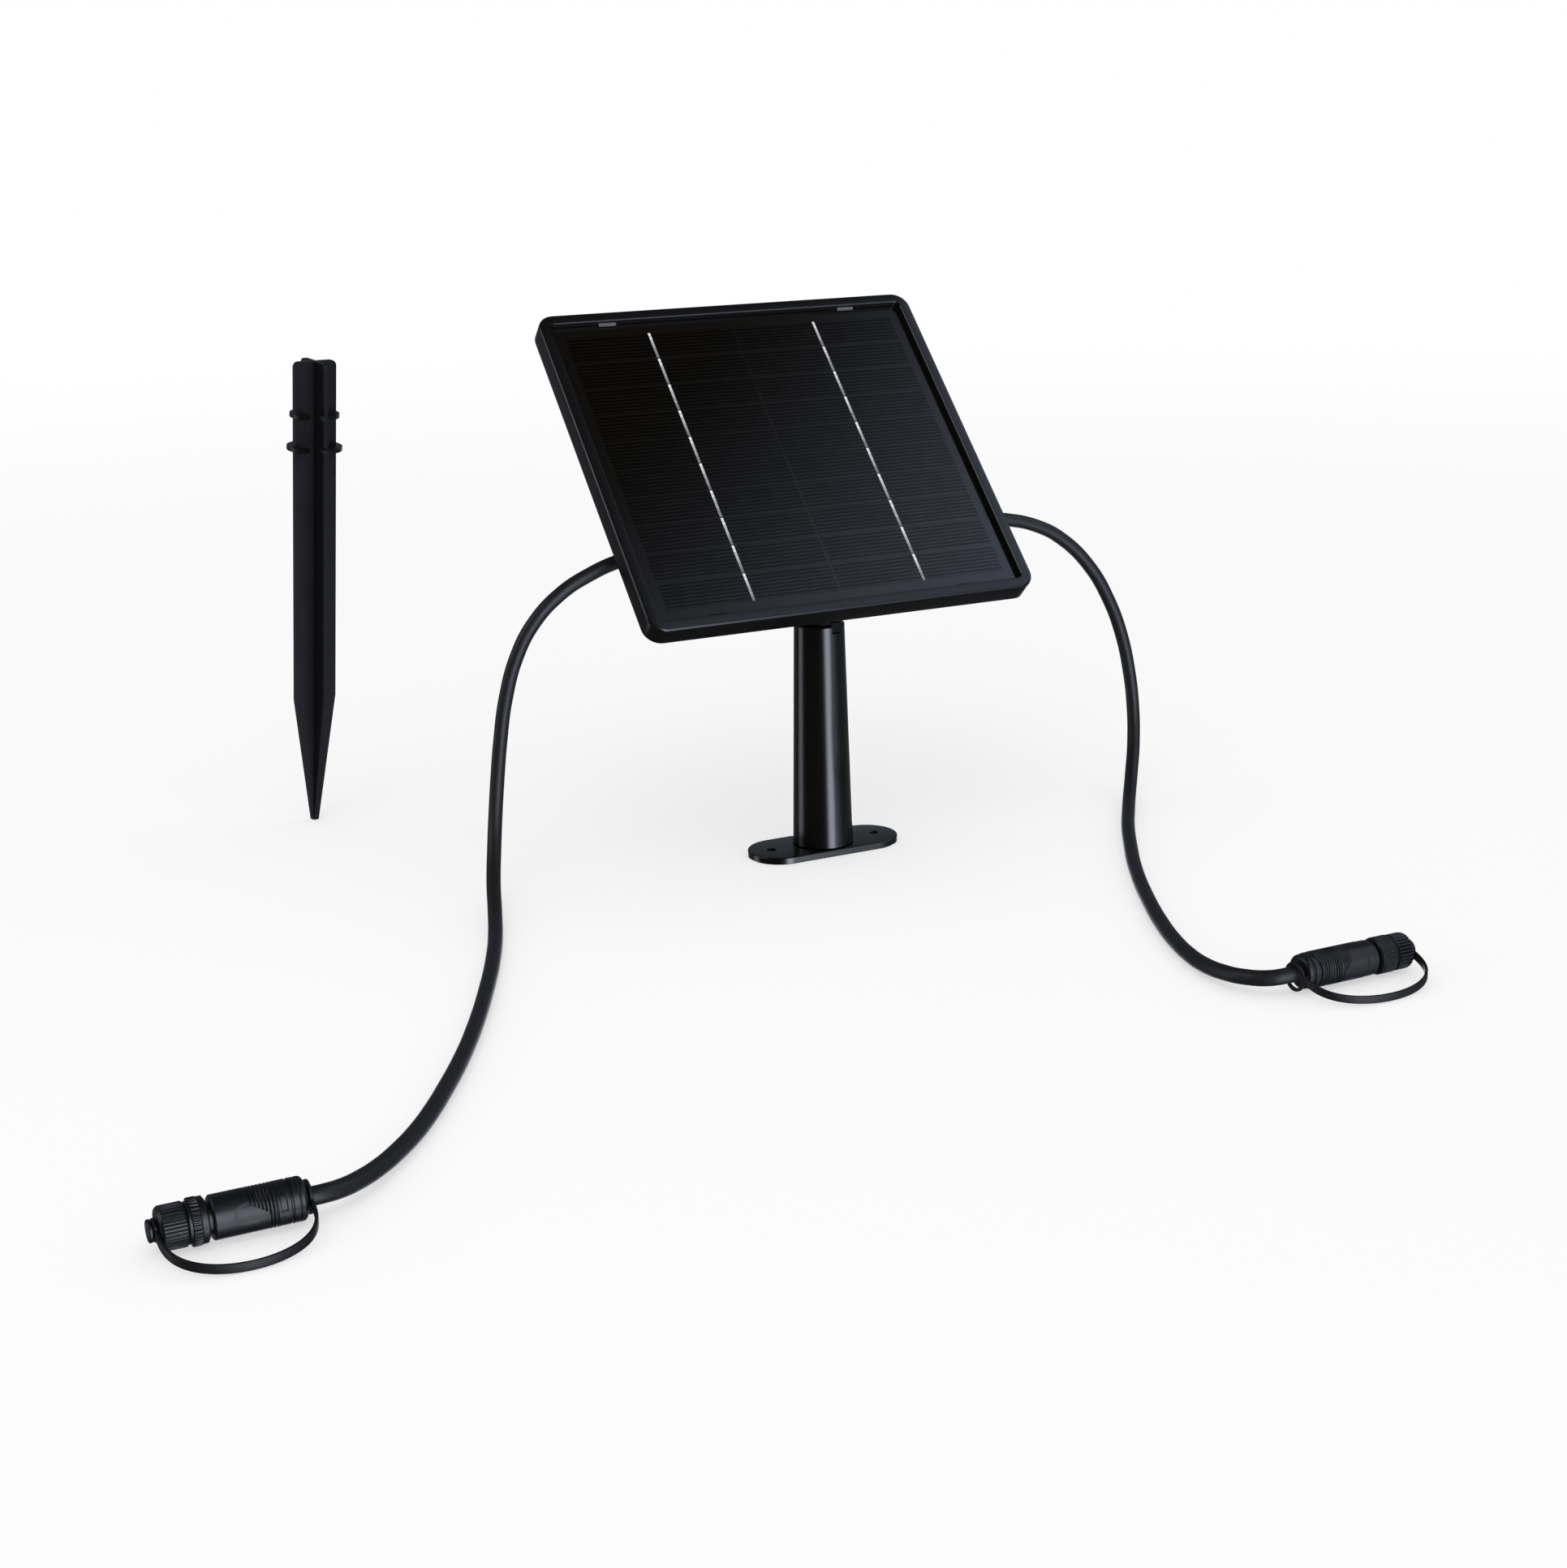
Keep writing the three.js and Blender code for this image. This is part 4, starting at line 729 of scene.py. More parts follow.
def merged(*shapes: Shape) -> Shape:
    """Puts several shapes in one, and frees them.

    Args:
        *shapes: The shapes.

    Returns:
        The whole.
    """
    whole = bmesh.new()
    for shape in shapes:
        mesh = as_mesh(shape, "part")
        whole.from_mesh(mesh)
        bpy.data.meshes.remove(mesh)
    return whole


def moved(shape: Shape, matrix: Matrix) -> Shape:
    """A shape moved, turned or scaled by a matrix."""
    bmesh.ops.transform(shape, matrix=matrix, verts=shape.verts)
    return shape


def carved(shape: Shape, *tools: Shape) -> Shape:
    """Cuts closed shapes out of a closed shape, and frees them all.

    Args:
        shape: The shape that is cut.
        *tools: The shapes that cut it.

    Returns:
        What is left.
    """
    for solid in (shape, *tools):
        bmesh.ops.recalc_face_normals(solid, faces=solid.faces)
    whole = in_scene("whole", as_mesh(shape, "whole"))
    helpers = [in_scene("tool", as_mesh(tool, "tool")) for tool in tools]
    for helper in helpers:
        cut = whole.modifiers.new("cut", "BOOLEAN")
        cut.operation, cut.solver, cut.object = "DIFFERENCE", "EXACT", helper
    bpy.context.view_layer.update()
    result = bmesh.new()
    result.from_object(whole, bpy.context.evaluated_depsgraph_get())
    for helper in (whole, *helpers):
        mesh = helper.data
        bpy.data.objects.remove(helper)
        bpy.data.meshes.remove(mesh)
    return result


def step_at(value: float, start: float, end: float) -> float:
    """A smooth step from 0 at start to 1 at end."""
    share = min(1.0, max(0.0, (value - start) / (end - start)))
    return share * share * (3 - 2 * share)


def band(value: float, low: float, high: float, soft: float = 0.14) -> float:
    """1 between low and high, and 0 further out, with a smooth step to either side."""
    return step_at(value, low - soft, low) * (1 - step_at(value, high, high + soft))


# ---------------------------------------------------------------- finishing pieces


def finished(
    piece: bpy.types.Object, finish: Finish, body: Body, stands_for: Sequence[str] = ()
) -> bpy.types.Object:
    """Paints a piece, sets it on its body and hides the nodes that it stands for.

    Args:
        piece: The object, in place.
        finish: Its finish.
        body: The body that it rides on.
        stands_for: The nodes that it replaces.

    Returns:
        The same object.
    """
    piece.data.materials.clear()
    piece.data.materials.append(finish.material())
    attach(piece, body.value)
    if stands_for:
        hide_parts(*stands_for)
    LOG.info("%s rides on %s", piece.name, body.value)
    return piece


def piece(
    shape: Shape,
    name: str,
    axes: Axes,
    finish: Finish,
    body: Body,
    stands_for: Sequence[str] = (),
    edge: float = 0.0,
    crease: float = CREASE,
) -> bpy.types.Object:
    """Makes a finished piece of a shape.

    Args:
        shape: The shape, in the millimetres of its axes.
        name: The piece's name.
        axes: The axes that it was drawn in.
        finish: Its finish.
        body: The body that it rides on.
        stands_for: The nodes that it replaces.
        edge: The width that its sharp edges are rounded over, in millimetres.
        crease: The angle in degrees past which an edge is sharp.

    Returns:
        The piece.
    """
    bmesh.ops.remove_doubles(shape, verts=shape.verts, dist=SAME_POINT)
    bmesh.ops.recalc_face_normals(shape, faces=shape.faces)
    moved(shape, axes.matrix)
    for face in shape.faces:
        face.smooth = True
    made = in_scene(name, as_mesh(shape, name))
    if edge:
        bevel = made.modifiers.new("edges", "BEVEL")
        bevel.width = edge * MM
        bevel.segments = 2
        bevel.limit_method = "ANGLE"
        bevel.angle_limit = math.radians(crease)
        flat = made.modifiers.new("flat_faces", "WEIGHTED_NORMAL")
        flat.weight = 100
    else:
        made.data.set_sharp_from_angle(angle=math.radians(crease))
    return finished(made, finish, body, stands_for)


def rounded(node: str, finish: Finish, body: Body, edge: float) -> bpy.types.Object:
    """A node's own shape with its edges rounded off.

    Args:
        node: The node.
        finish: Its finish.
        body: The body that it rides on.
        edge: The width that its edges are rounded over, in millimetres.

    Returns:
        The piece that stands for the node.
    """
    shape = bmesh.new()
    shape.from_mesh(frame["nodes"][node].data)
    moved(shape, Matrix.Scale(1 / MM, 4))
    bmesh.ops.remove_doubles(shape, verts=shape.verts, dist=SAME_NODE_POINT)
    bmesh.ops.dissolve_limit(shape, angle_limit=SAME_PLANE, verts=shape.verts, edges=shape.edges)
    return piece(shape, f"rounded_{node}", PART_AXES, finish, body, [node], edge)


def repainted(finish: Finish, *nodes: str) -> None:
    """Paints nodes whose shape is kept.

    Args:
        finish: Their finish.
        *nodes: The nodes.
    """
    for node in nodes:
        frame["nodes"][node].data.materials.clear()
        frame["nodes"][node].data.materials.append(finish.material())
        LOG.info("%s keeps its shape", node)


# ---------------------------------------------------------------- studio


@dataclass(frozen=True)
class Softbox:
    """A far softbox that shows in reflections.

    Angles are in degrees, and azimuths go from the front to the right.
    """

    azimuth: float
    half_width: float
    low: float
    high: float
    feather: float
    colour: Colour
    lean: float = 0.0  # how far it sinks for each degree to the right


@dataclass
class Studio:
    """A white studio: the camera, the light and the floor."""

    camera_place: Place = (-0.45152, -0.89472, 0.32013)
    camera_heading: float = 25.82  # from +Y to +X, in degrees
    camera_pitch: float = -16.179
    camera_roll: float = -1.3186
    focal_length: float = 55.055
    sensor_width: float = 36.0
    white: Colour = (1.0, 1.0, 1.0)
    ambient: Colour = (0.86, 0.86, 0.86)
    dim: Colour = (0.03, 0.03, 0.03)
    lamp_place: Place = (-0.9, -1.1, 2.0)
    lamp_aim: Place = (-0.05, -0.05, 0.08)
    lamp_size: float = 1.6
    lamp_power: float = 9.0
    floor_colour: Colour = (0.95, 0.95, 0.95)
    floor_radius: float = 6.0
    floor_sides: int = 64
    floor_fade: Point = (0.5, 2.2)
    floor_glow: float = 0.55  # the least share of the white behind it
    softboxes: tuple[Softbox, ...] = (
        Softbox(8, 6, -34, 30, 12, (5.4, 5.7, 6.6)),
        Softbox(20, 4, -34, 20, 34, (0.9, 1.0, 1.24)),
        Softbox(120, 75, -40, 30, 25, (0.1, 0.115, 0.14)),
        Softbox(-119, 7, -26, 38, 8, (1.4, 1.45, 1.6)),
        Softbox(-98, 5, 36, 46, 8, (5.0, 5.0, 5.4)),
        Softbox(70, 24, 34, 54.5, 12, (0.94, 1.07, 1.41), 0.2),
        Softbox(153, 16, -44, -16, 10, (2.6, 2.6, 2.8)),
    )

    def build(self) -> None:
        """Sets up the camera, the world, the lamp and the floor."""
        bpy.context.scene.view_settings.view_transform = "Standard"
        self.aim_camera()
        self.light_world()
        self.hang_lamp()
        self.lay_floor()

    def aim_camera(self) -> None:
        """Puts the camera where the photograph was taken from."""
        lens = bpy.data.cameras.new("camera")
        lens.lens, lens.sensor_width, lens.sensor_fit = self.focal_length, self.sensor_width, "HORIZONTAL"
        camera = in_scene("camera", lens)
        heading = Matrix.Rotation(-math.radians(self.camera_heading), 4, "Z")
        pitch = Matrix.Rotation(math.radians(90 + self.camera_pitch), 4, "X")
        roll = Matrix.Rotation(math.radians(self.camera_roll), 4, "Z")
        camera.matrix_world = Matrix.Translation(self.camera_place) @ heading @ pitch @ roll
        bpy.context.scene.camera = camera

    def light_world(self) -> None:
        """Lights surfaces evenly; the camera sees white, and gloss sees softboxes in a dim room."""
        world = bpy.data.worlds.new("studio")
        world.use_nodes = True
        world.cycles.sampling_method = "NONE"
        bpy.context.scene.world = world
        paint = Paint(world.node_tree)
        right, back, up = paint.split(paint.value("ShaderNodeTexCoord", {}, {}, "Generated"))
        azimuth = right.math("ARCTAN2", back * -1.0) * math.degrees(1)
        elevation = up.math("ARCSINE") * math.degrees(1)
        room = paint.tint(self.dim, 1.0)
        for box in self.softboxes:
            off = (azimuth - box.azimuth).math("WRAP", 180.0, -180.0)
            height = elevation + off * box.lean
            mask = abs(off).rises(box.half_width + box.feather, box.half_width)
            mask = mask * height.rises(box.low - box.feather, box.low)
            mask = mask * height.rises(box.high + box.feather, box.high)
            room = paint.sum(room, paint.tint(box.colour, mask))
        path = paint.node("ShaderNodeLightPath", {}, {})
        seen, glossy, through = [
            Value(paint, path.outputs[f"Is {kind} Ray"]) for kind in ("Camera", "Glossy", "Transmission")
        ]
        light = paint.mix(glossy, self.ambient, room)
        light = paint.mix(seen.math("MAXIMUM", through), light, self.white)
        background = paint.value("ShaderNodeBackground", {}, {"Color": light})
        paint.node("ShaderNodeOutputWorld", {}, {"Surface": background})

    def hang_lamp(self) -> None:
        """One broad soft lamp, above and in front on the left, for shape and for a faint shadow."""
        light = bpy.data.lights.new("soft_lamp", "AREA")
        light.shape, light.size, light.energy = "DISK", self.lamp_size, self.lamp_power
        lamp = in_scene("soft_lamp", light)
        aim = Vector(self.lamp_aim) - Vector(self.lamp_place)
        turn = aim.to_track_quat("-Z", "Y").to_matrix().to_4x4()
        lamp.matrix_world = Matrix.Translation(self.lamp_place) @ turn
        lamp.visible_glossy = False

    def lay_floor(self) -> None:
        """A pale floor that fades into the white behind it."""
        shape = bmesh.new()
        bmesh.ops.create_circle(shape, cap_ends=True, segments=self.floor_sides, radius=self.floor_radius)
        floor = in_scene("floor", as_mesh(shape, "floor"))
        material, paint = new_material("floor_paper")
        sockets = {0: paint.place()}
        away = paint.value("ShaderNodeVectorMath", {"operation": "LENGTH"}, sockets, "Value")
        paper = paint.value("ShaderNodeBsdfDiffuse", {}, {"Color": opaque(self.floor_colour)})
        glow = paint.value("ShaderNodeEmission", {}, {"Color": opaque(self.white)})
        share = self.floor_glow + away.rises(*self.floor_fade) * (1 - self.floor_glow)
        surface = paint.value("ShaderNodeMixShader", {}, {0: share, 1: paper, 2: glow})
        paint.node("ShaderNodeOutputMaterial", {}, {"Surface": surface})
        floor.data.materials.append(material)
        floor.visible_glossy = False


# ---------------------------------------------------------------- cords


@dataclass
class Cord:
    """One of the two cords, from its gland on the housing to its plug."""

    side: Side
    length: float  # in metres, as the route is
    route: tuple[Place, ...]
    diameter: float = 0.006
    steps: int = 10
    roundness: int = 5

    def build(self) -> None:
        """Runs a round cord through the route's points."""
        name = f"jacket_cord_{self.side.value}"
        curve = bpy.data.curves.new(name, "CURVE")
        curve.dimensions = "3D"
        curve.resolution_u = self.steps
        curve.bevel_depth = self.diameter / 2
        curve.bevel_resolution = self.roundness
        curve.use_fill_caps = True
        spline = curve.splines.new("BEZIER")
        spline.bezier_points.add(len(self.route) - 1)
        for knot, place in zip(spline.bezier_points, self.route):
            knot.co = place
            knot.handle_left_type = knot.handle_right_type = "AUTO"
        self.jacket = in_scene(name, curve)
        finished(self.jacket, CORD_RUBBER, Body.STAND, [f"cord_{self.side.value}"])

    def declare(self, plug: Sequence[bpy.types.Object]) -> None:
        """Does nothing with the cord or its plug.

        Args:
            plug: The plug's pieces; not used.
        """


LEFT_ROUTE = (
    (-0.0603, 0.018, 0.1345), (-0.072, 0.018, 0.1345), (-0.084, 0.018, 0.133), (-0.096, 0.018, 0.1292),
    (-0.11, 0.018, 0.1222), (-0.1225, 0.018, 0.111), (-0.1304, 0.018, 0.0982), (-0.1362, 0.018, 0.081),
    (-0.1396, 0.018, 0.063), (-0.1422, 0.0172, 0.046), (-0.1452, 0.0135, 0.0315), (-0.149, 0.006, 0.0205),
    (-0.154, -0.006, 0.012), (-0.1602, -0.024, 0.006), (-0.1672, -0.044, 0.0036), (-0.1745, -0.063, 0.0032),
    (-0.19, -0.0985, 0.0032), (-0.2095, -0.1385, 0.0032), (-0.2226, -0.1625, 0.0032),
    (-0.2324, -0.1788, 0.0032), (-0.2424, -0.1946, 0.0032), (-0.2526, -0.209, 0.0033),
    (-0.2624, -0.2212, 0.0038), (-0.2716, -0.2314, 0.0046), (-0.2803, -0.2394, 0.0056),
    (-0.2872, -0.2442, 0.0065), (-0.2938, -0.2466, 0.0072), (-0.3009, -0.2468, 0.0074),
)
RIGHT_ROUTE = (
    (0.0603, 0.018, 0.1345), (0.075, 0.018, 0.1345), (0.09, 0.018, 0.1341), (0.105, 0.018, 0.1322),
    (0.1195, 0.018, 0.1282), (0.133, 0.018, 0.121), (0.1485, 0.018, 0.1065), (0.1592, 0.018, 0.09),
    (0.1665, 0.018, 0.073), (0.171, 0.0176, 0.055), (0.1718, 0.015, 0.0385), (0.1678, 0.008, 0.0235),
    (0.1598, -0.0025, 0.0122), (0.15, -0.0155, 0.0056), (0.139, -0.031, 0.0034), (0.127, -0.0485, 0.0032),
    (0.112, -0.0725, 0.0032), (0.097, -0.098, 0.0032), (0.0795, -0.132, 0.0032), (0.0648, -0.165, 0.0032),
    (0.0589, -0.181, 0.0032), (0.0546, -0.1955, 0.0034), (0.052, -0.209, 0.0039),
    (0.0518, -0.221, 0.0048), (0.0543, -0.2313, 0.0058), (0.0596, -0.2382, 0.0066),
    (0.0664, -0.2406, 0.0072), (0.0731, -0.2404, 0.0074),
)


# ---------------------------------------------------------------- panel


@dataclass
class Panel:
    """The framed solar panel; its axes have X across, Y up the slope and Z out of the front."""

    frame_corner: float = 7.5
    corner_steps: int = 8
    edge_round: float = 1.2
    rear_break: float = 0.4
    lip_break: float = 0.35
    pocket_corner: float = 1.0
    ledge_width: float = 6.0
    ledge_thickness: float = 1.6
    clip_size: Place = (8.0, 1.2, 1.2)
    clip_offset: float = 58.0
    clip_round: float = 0.25
    rows: int = 10
    row_pitch: float = 14.3
    cells_half_width: float = 79.0
    busbar_offset: float = 40.0
    ribbon_width: float = 1.2
    ribbon_gap: float = 0.5
    ribbon_thickness: float = 0.05
    solder: tuple[Point, ...] = ((1.0, 0.85), (3.1, 0.5))  # how far below each seam, and half as long
    solder_height: float = 0.2
    solder_levels: int = 2

    def __post_init__(self) -> None:
        """Takes the outer sizes from the model."""
        self.outer = PANEL_AXES.box("panel_frame")
        self.laminate = PANEL_AXES.box("solar_laminate")
        self.rim = self.laminate.low.x - GAP - self.outer.low.x

    def build(self) -> None:
        """Builds the frame, its clips, the laminate and what is soldered on it."""
        self.build_frame()
        self.build_clips()
        self.paint_laminate()
        self.build_busbars()

    def build_frame(self) -> None:
        """Runs the frame's section round the panel."""
        rear, front = self.outer.low.z, self.outer.high.z
        ledge_front = self.laminate.low.z - GAP
        ledge_rear = ledge_front - self.ledge_thickness
        inner = self.rim + self.ledge_width
        radius = self.edge_round
        section = [
            (self.rear_break, rear), (0.0, rear + self.rear_break),
            *arc((radius, front - radius), radius, 180, 90),
            (self.rim - self.lip_break, front), (self.rim, front - self.lip_break),
            (self.rim, ledge_front), (inner, ledge_front), (inner, ledge_rear), (self.rim, ledge_rear),
            (self.rim, rear),
        ]
        size = (self.outer.size.x, self.outer.size.y)
        shape = swept_round(size, self.frame_corner, section, self.pocket_corner, self.corner_steps, True)
        moved(shape, Matrix.Translation((self.outer.middle.x, self.outer.middle.y, 0)))
        piece(shape, "satin_panel_frame", PANEL_AXES, FRAME_PLASTIC, Body.PANEL, ["panel_frame"])

    def build_clips(self) -> None:
        """Four snap clips hold the laminate down, two on the upper rim and two on the lower; the lower two are
        painted the frame's black as painted shade.
        """
        length, reach, thickness = self.clip_size
        low = self.laminate.high.z + GAP
        # the same clips: the lower two painted black as painted shade, the upper two in the clips' grey
        for end, name, finish in ((-1, "shade_painted_lower_clips", FRAME_PLASTIC), (1, "upper_clips", CLIP_PLASTIC)):
            clips = []
            wall = self.outer.middle.y + end * (self.outer.size.y / 2 - self.rim)
            inner, outer = sorted((wall - end * reach, wall + end * GAP))
            for side in (-1, 1):
                middle = side * self.clip_offset
                corners = (middle - length / 2, inner, low), (middle + length / 2, outer, low + thickness)
                clips.append(slab(*corners))
            piece(merged(*clips), name, PANEL_AXES, finish, Body.PANEL, edge=self.clip_round)

    def paint_laminate(self) -> None:
        """The laminate keeps its shape, and gets its cells."""
        repainted(self.on_cells(SolarLaminate, "solar_cells", "laminate"), "solar_laminate")

    def on_cells(self, kind: type[PanelFinish], name: str, slot: str) -> PanelFinish:
        """A finish of this kind that follows the cells."""
        front = Vector((*self.laminate.middle.xy, self.laminate.high.z))
        return kind(name, slot, PANEL_AXES.matrix @ front, self.cells_half_width, self.row_pitch, self.rows)

    def build_busbars(self) -> None:
        """Two lines of tinned ribbons, each with two beads of solder at its upper end."""
        middle, front = self.laminate.middle, self.laminate.high.z
        bottom = middle.y - self.rows * self.row_pitch / 2
        half = self.ribbon_width / 2
        ribbons, beads = [], bmesh.new()
        for side in (-1, 1):
            across = middle.x + side * self.busbar_offset
            for row in range(self.rows):
                start = bottom + row * self.row_pitch + self.ribbon_gap / 2
                end = start + self.row_pitch - self.ribbon_gap
                low = (across - half, start, front - self.ribbon_thickness)
                ribbons.append(slab(low, (across + half, end, front + self.ribbon_thickness)))
                for below, half_length in self.solder:
                    place = Matrix.Translation((across, bottom + (row + 1) * self.row_pitch - below, front))
                    oval = Matrix.Diagonal((half, half_length, self.solder_height, 1.0))
                    bmesh.ops.create_icosphere(
                        beads, subdivisions=self.solder_levels, radius=1.0, matrix=place @ oval
                    )
        ribbon = self.on_cells(TinnedRibbon, "tinned_ribbon", "zinc_steel")
        piece(merged(*ribbons), "busbar_ribbons", PANEL_AXES, ribbon, Body.PANEL)
        piece(beads, "solder_beads", PANEL_AXES, SOLDER, Body.PANEL)


# ---------------------------------------------------------------- rear housing


class Head(Enum):
    """The forms of screw head."""

    PAN = "pan"
    COUNTERSUNK = "countersunk"


@dataclass
class Screw:
    """A cross-recessed screw that stands for a node; its head is at its rear, in the panel's axes."""

    node: str
    head: Head
    head_height: float
    shank_radius: float
    land: float = 0.2  # the rim's height on a countersunk head
    rim_break: float = 0.1
    crown_round: float = 0.45  # of a pan head, as a share of its radius
    recess_width: float = 0.5
    recess_reach: float = 0.62  # a share of the head's radius
    recess_depth: float = 0.9
    sides: int = 32

    def build(self) -> None:
        """Turns the screw and cuts its recess."""
        box = PANEL_AXES.box(self.node)
        radius, start, end = box.size.x / 2, box.low.z, box.high.z
        seat = start + self.head_height
        if self.head is Head.PAN:
            small = radius * self.crown_round
            crown = [(0.0, start), *arc((radius - small, start + small), small, -90, 0), (radius, seat)]
        else:
            small = self.rim_break
            rim = start + self.land
            crown = [(0.0, start), (radius - small, start), (radius, start + small), (radius, rim)]
        shank = self.shank_radius
        profile = [*crown, (shank, seat), (shank, end - shank), (0.0, end)]
        middle = Vector((box.middle.x, box.middle.y, 0))
        shape = moved(spun(profile, self.sides), Matrix.Translation(middle))
        reach, half = radius * self.recess_reach, self.recess_width / 2
        floor = start + self.recess_depth
        arms = [
            slab(middle + Vector((-x, -y, start - CUT_PAST)), middle + Vector((x, y, floor)))
            for x, y in ((reach, half), (half, reach))
        ]
        name = f"cross_{self.node}"
        piece(carved(shape, *arms), name, PANEL_AXES, ZINC_STEEL, Body.PANEL, [self.node], crease=TURNED_CREASE)


@dataclass
class RearHousing:
    """The housing behind the panel, with its lid, button, board, cell and cable glands."""

    shell_edge: float = 0.3
    small_edge: float = 0.25  # of the lid, the button and the cell
    gland_edge: float = 0.2
    nut_steps: int = 144
    nut_grips: int = 12
    nut_grip_depth: float = 0.5
    nut_grip_flank: Point = (0.1, 0.9)  # where a groove's side starts and ends, from -1 on a grip to 1
    nut_grip_start: Point = (0.95, 1.25)
    nut_grip_end: float = 0.8  # before the nut's end
    nut_bore: float = 5.0
    nut_mouth: float = 3.3
    nut_break: float = 0.4
    nut_shoulder: float = 0.7  # where its dome starts, as a share of its length
    nut_dome: tuple[float, ...] = (0, 22, 44, 62, 76)  # the dome's points, in degrees

    def build(self) -> None:
        """Dresses every piece of the housing."""
        rounded("rear_housing", HOUSING_PLASTIC, Body.PANEL, self.shell_edge)
        rounded("housing_lid", HOUSING_PLASTIC, Body.PANEL, self.small_edge)
        rounded("power_button", SEAL_RUBBER, Body.BUTTON, self.small_edge)
        repainted(SEAL_RUBBER, "lid_seal")
        repainted(BOARD, "circuit_board")
        rounded("battery_cell", CELL_SLEEVE, Body.PANEL, self.small_edge)
        for side in Side:
            rounded(f"gland_body_{side.value}", HOUSING_PLASTIC, Body.PANEL, self.gland_edge)
            self.build_gland_nut(side)
        self.build_screws()

    def build_gland_nut(self, side: Side) -> None:
        """Makes a domed nut with finger grips round it.

        Args:
            side: The side of the housing that it is on.
        """
        node = f"gland_nut_{side.value}"
        box = PANEL_AXES.box(node)
        radius, length = box.size.y / 2, box.size.x
        bore, mouth, small, shoulder = self.nut_bore, self.nut_mouth, self.nut_break, length * self.nut_shoulder
        wide, tall = radius - mouth, length - small - shoulder
        dome = [
            (mouth + wide * math.cos(angle), shoulder + tall * math.sin(angle))
            for angle in map(math.radians, self.nut_dome)
        ]
        profile = [
            (bore, 0.0), (radius - small, 0.0), (radius, small), (radius, 0.9), (radius, 1.3), *dome,
            (mouth + 0.5, length), (mouth, length), (mouth, length - 1.0), (bore, length - 2.5),
        ]
        shape = spun(profile, self.nut_steps, closed=True)
        for vertex in shape.verts:
            out = Vector((vertex.co.x, vertex.co.y, 0.0))
            grip = math.cos(self.nut_grips * math.atan2(out.y, out.x))
            along = step_at(vertex.co.z, *self.nut_grip_start)
            along *= 1 - step_at(vertex.co.z, shoulder, length - self.nut_grip_end)
            if out.length > bore + 0.1:
                depth = self.nut_grip_depth * step_at(grip, *self.nut_grip_flank) * along
                vertex.co -= out.normalized() * depth
        start = box.low.x if side is Side.RIGHT else box.high.x
        heading = Matrix.Rotation(0 if side is Side.RIGHT else math.pi, 4, "Z")
        moved(shape, Matrix.Translation((start, box.middle.y, box.middle.z)) @ heading @ Z_TO_X)
        piece(shape, f"gripped_{node}", PANEL_AXES, PLUG_PLASTIC, Body.PANEL, [node], crease=TURNED_CREASE)

    def build_screws(self) -> None:
        """The screws of the lid, the cover, the hinge's bracket and the board."""
        for number in range(1, 5):
            Screw(f"lid_screw_{number}", Head.COUNTERSUNK, 1.5, 1.3).build()
        for number in range(1, 7):
            Screw(f"cover_screw_{number}", Head.COUNTERSUNK, 1.1, 1.0, recess_depth=0.7).build()
        for side in Side:
            Screw(f"bracket_screw_{side.value}", Head.PAN, 1.6, 1.2).build()
            Screw(f"board_screw_{side.value}", Head.PAN, 1.2, 0.9, recess_depth=0.7).build()


# ---------------------------------------------------------------- stand


@dataclass
class Hinge:
    """The bracket, bolt and nut that the panel tilts on."""

    bracket_edge: float = 0.35
    bolt_edge: float = 0.15

    def build(self) -> None:
        """Rounds the bracket, and plates its bolt and nut."""
        rounded("hinge_bracket", HOUSING_PLASTIC, Body.PANEL, self.bracket_edge)
        rounded("hinge_bolt", ZINC_STEEL, Body.PANEL, self.bolt_edge)
        rounded("hinge_nut", ZINC_STEEL, Body.PANEL, self.bolt_edge)


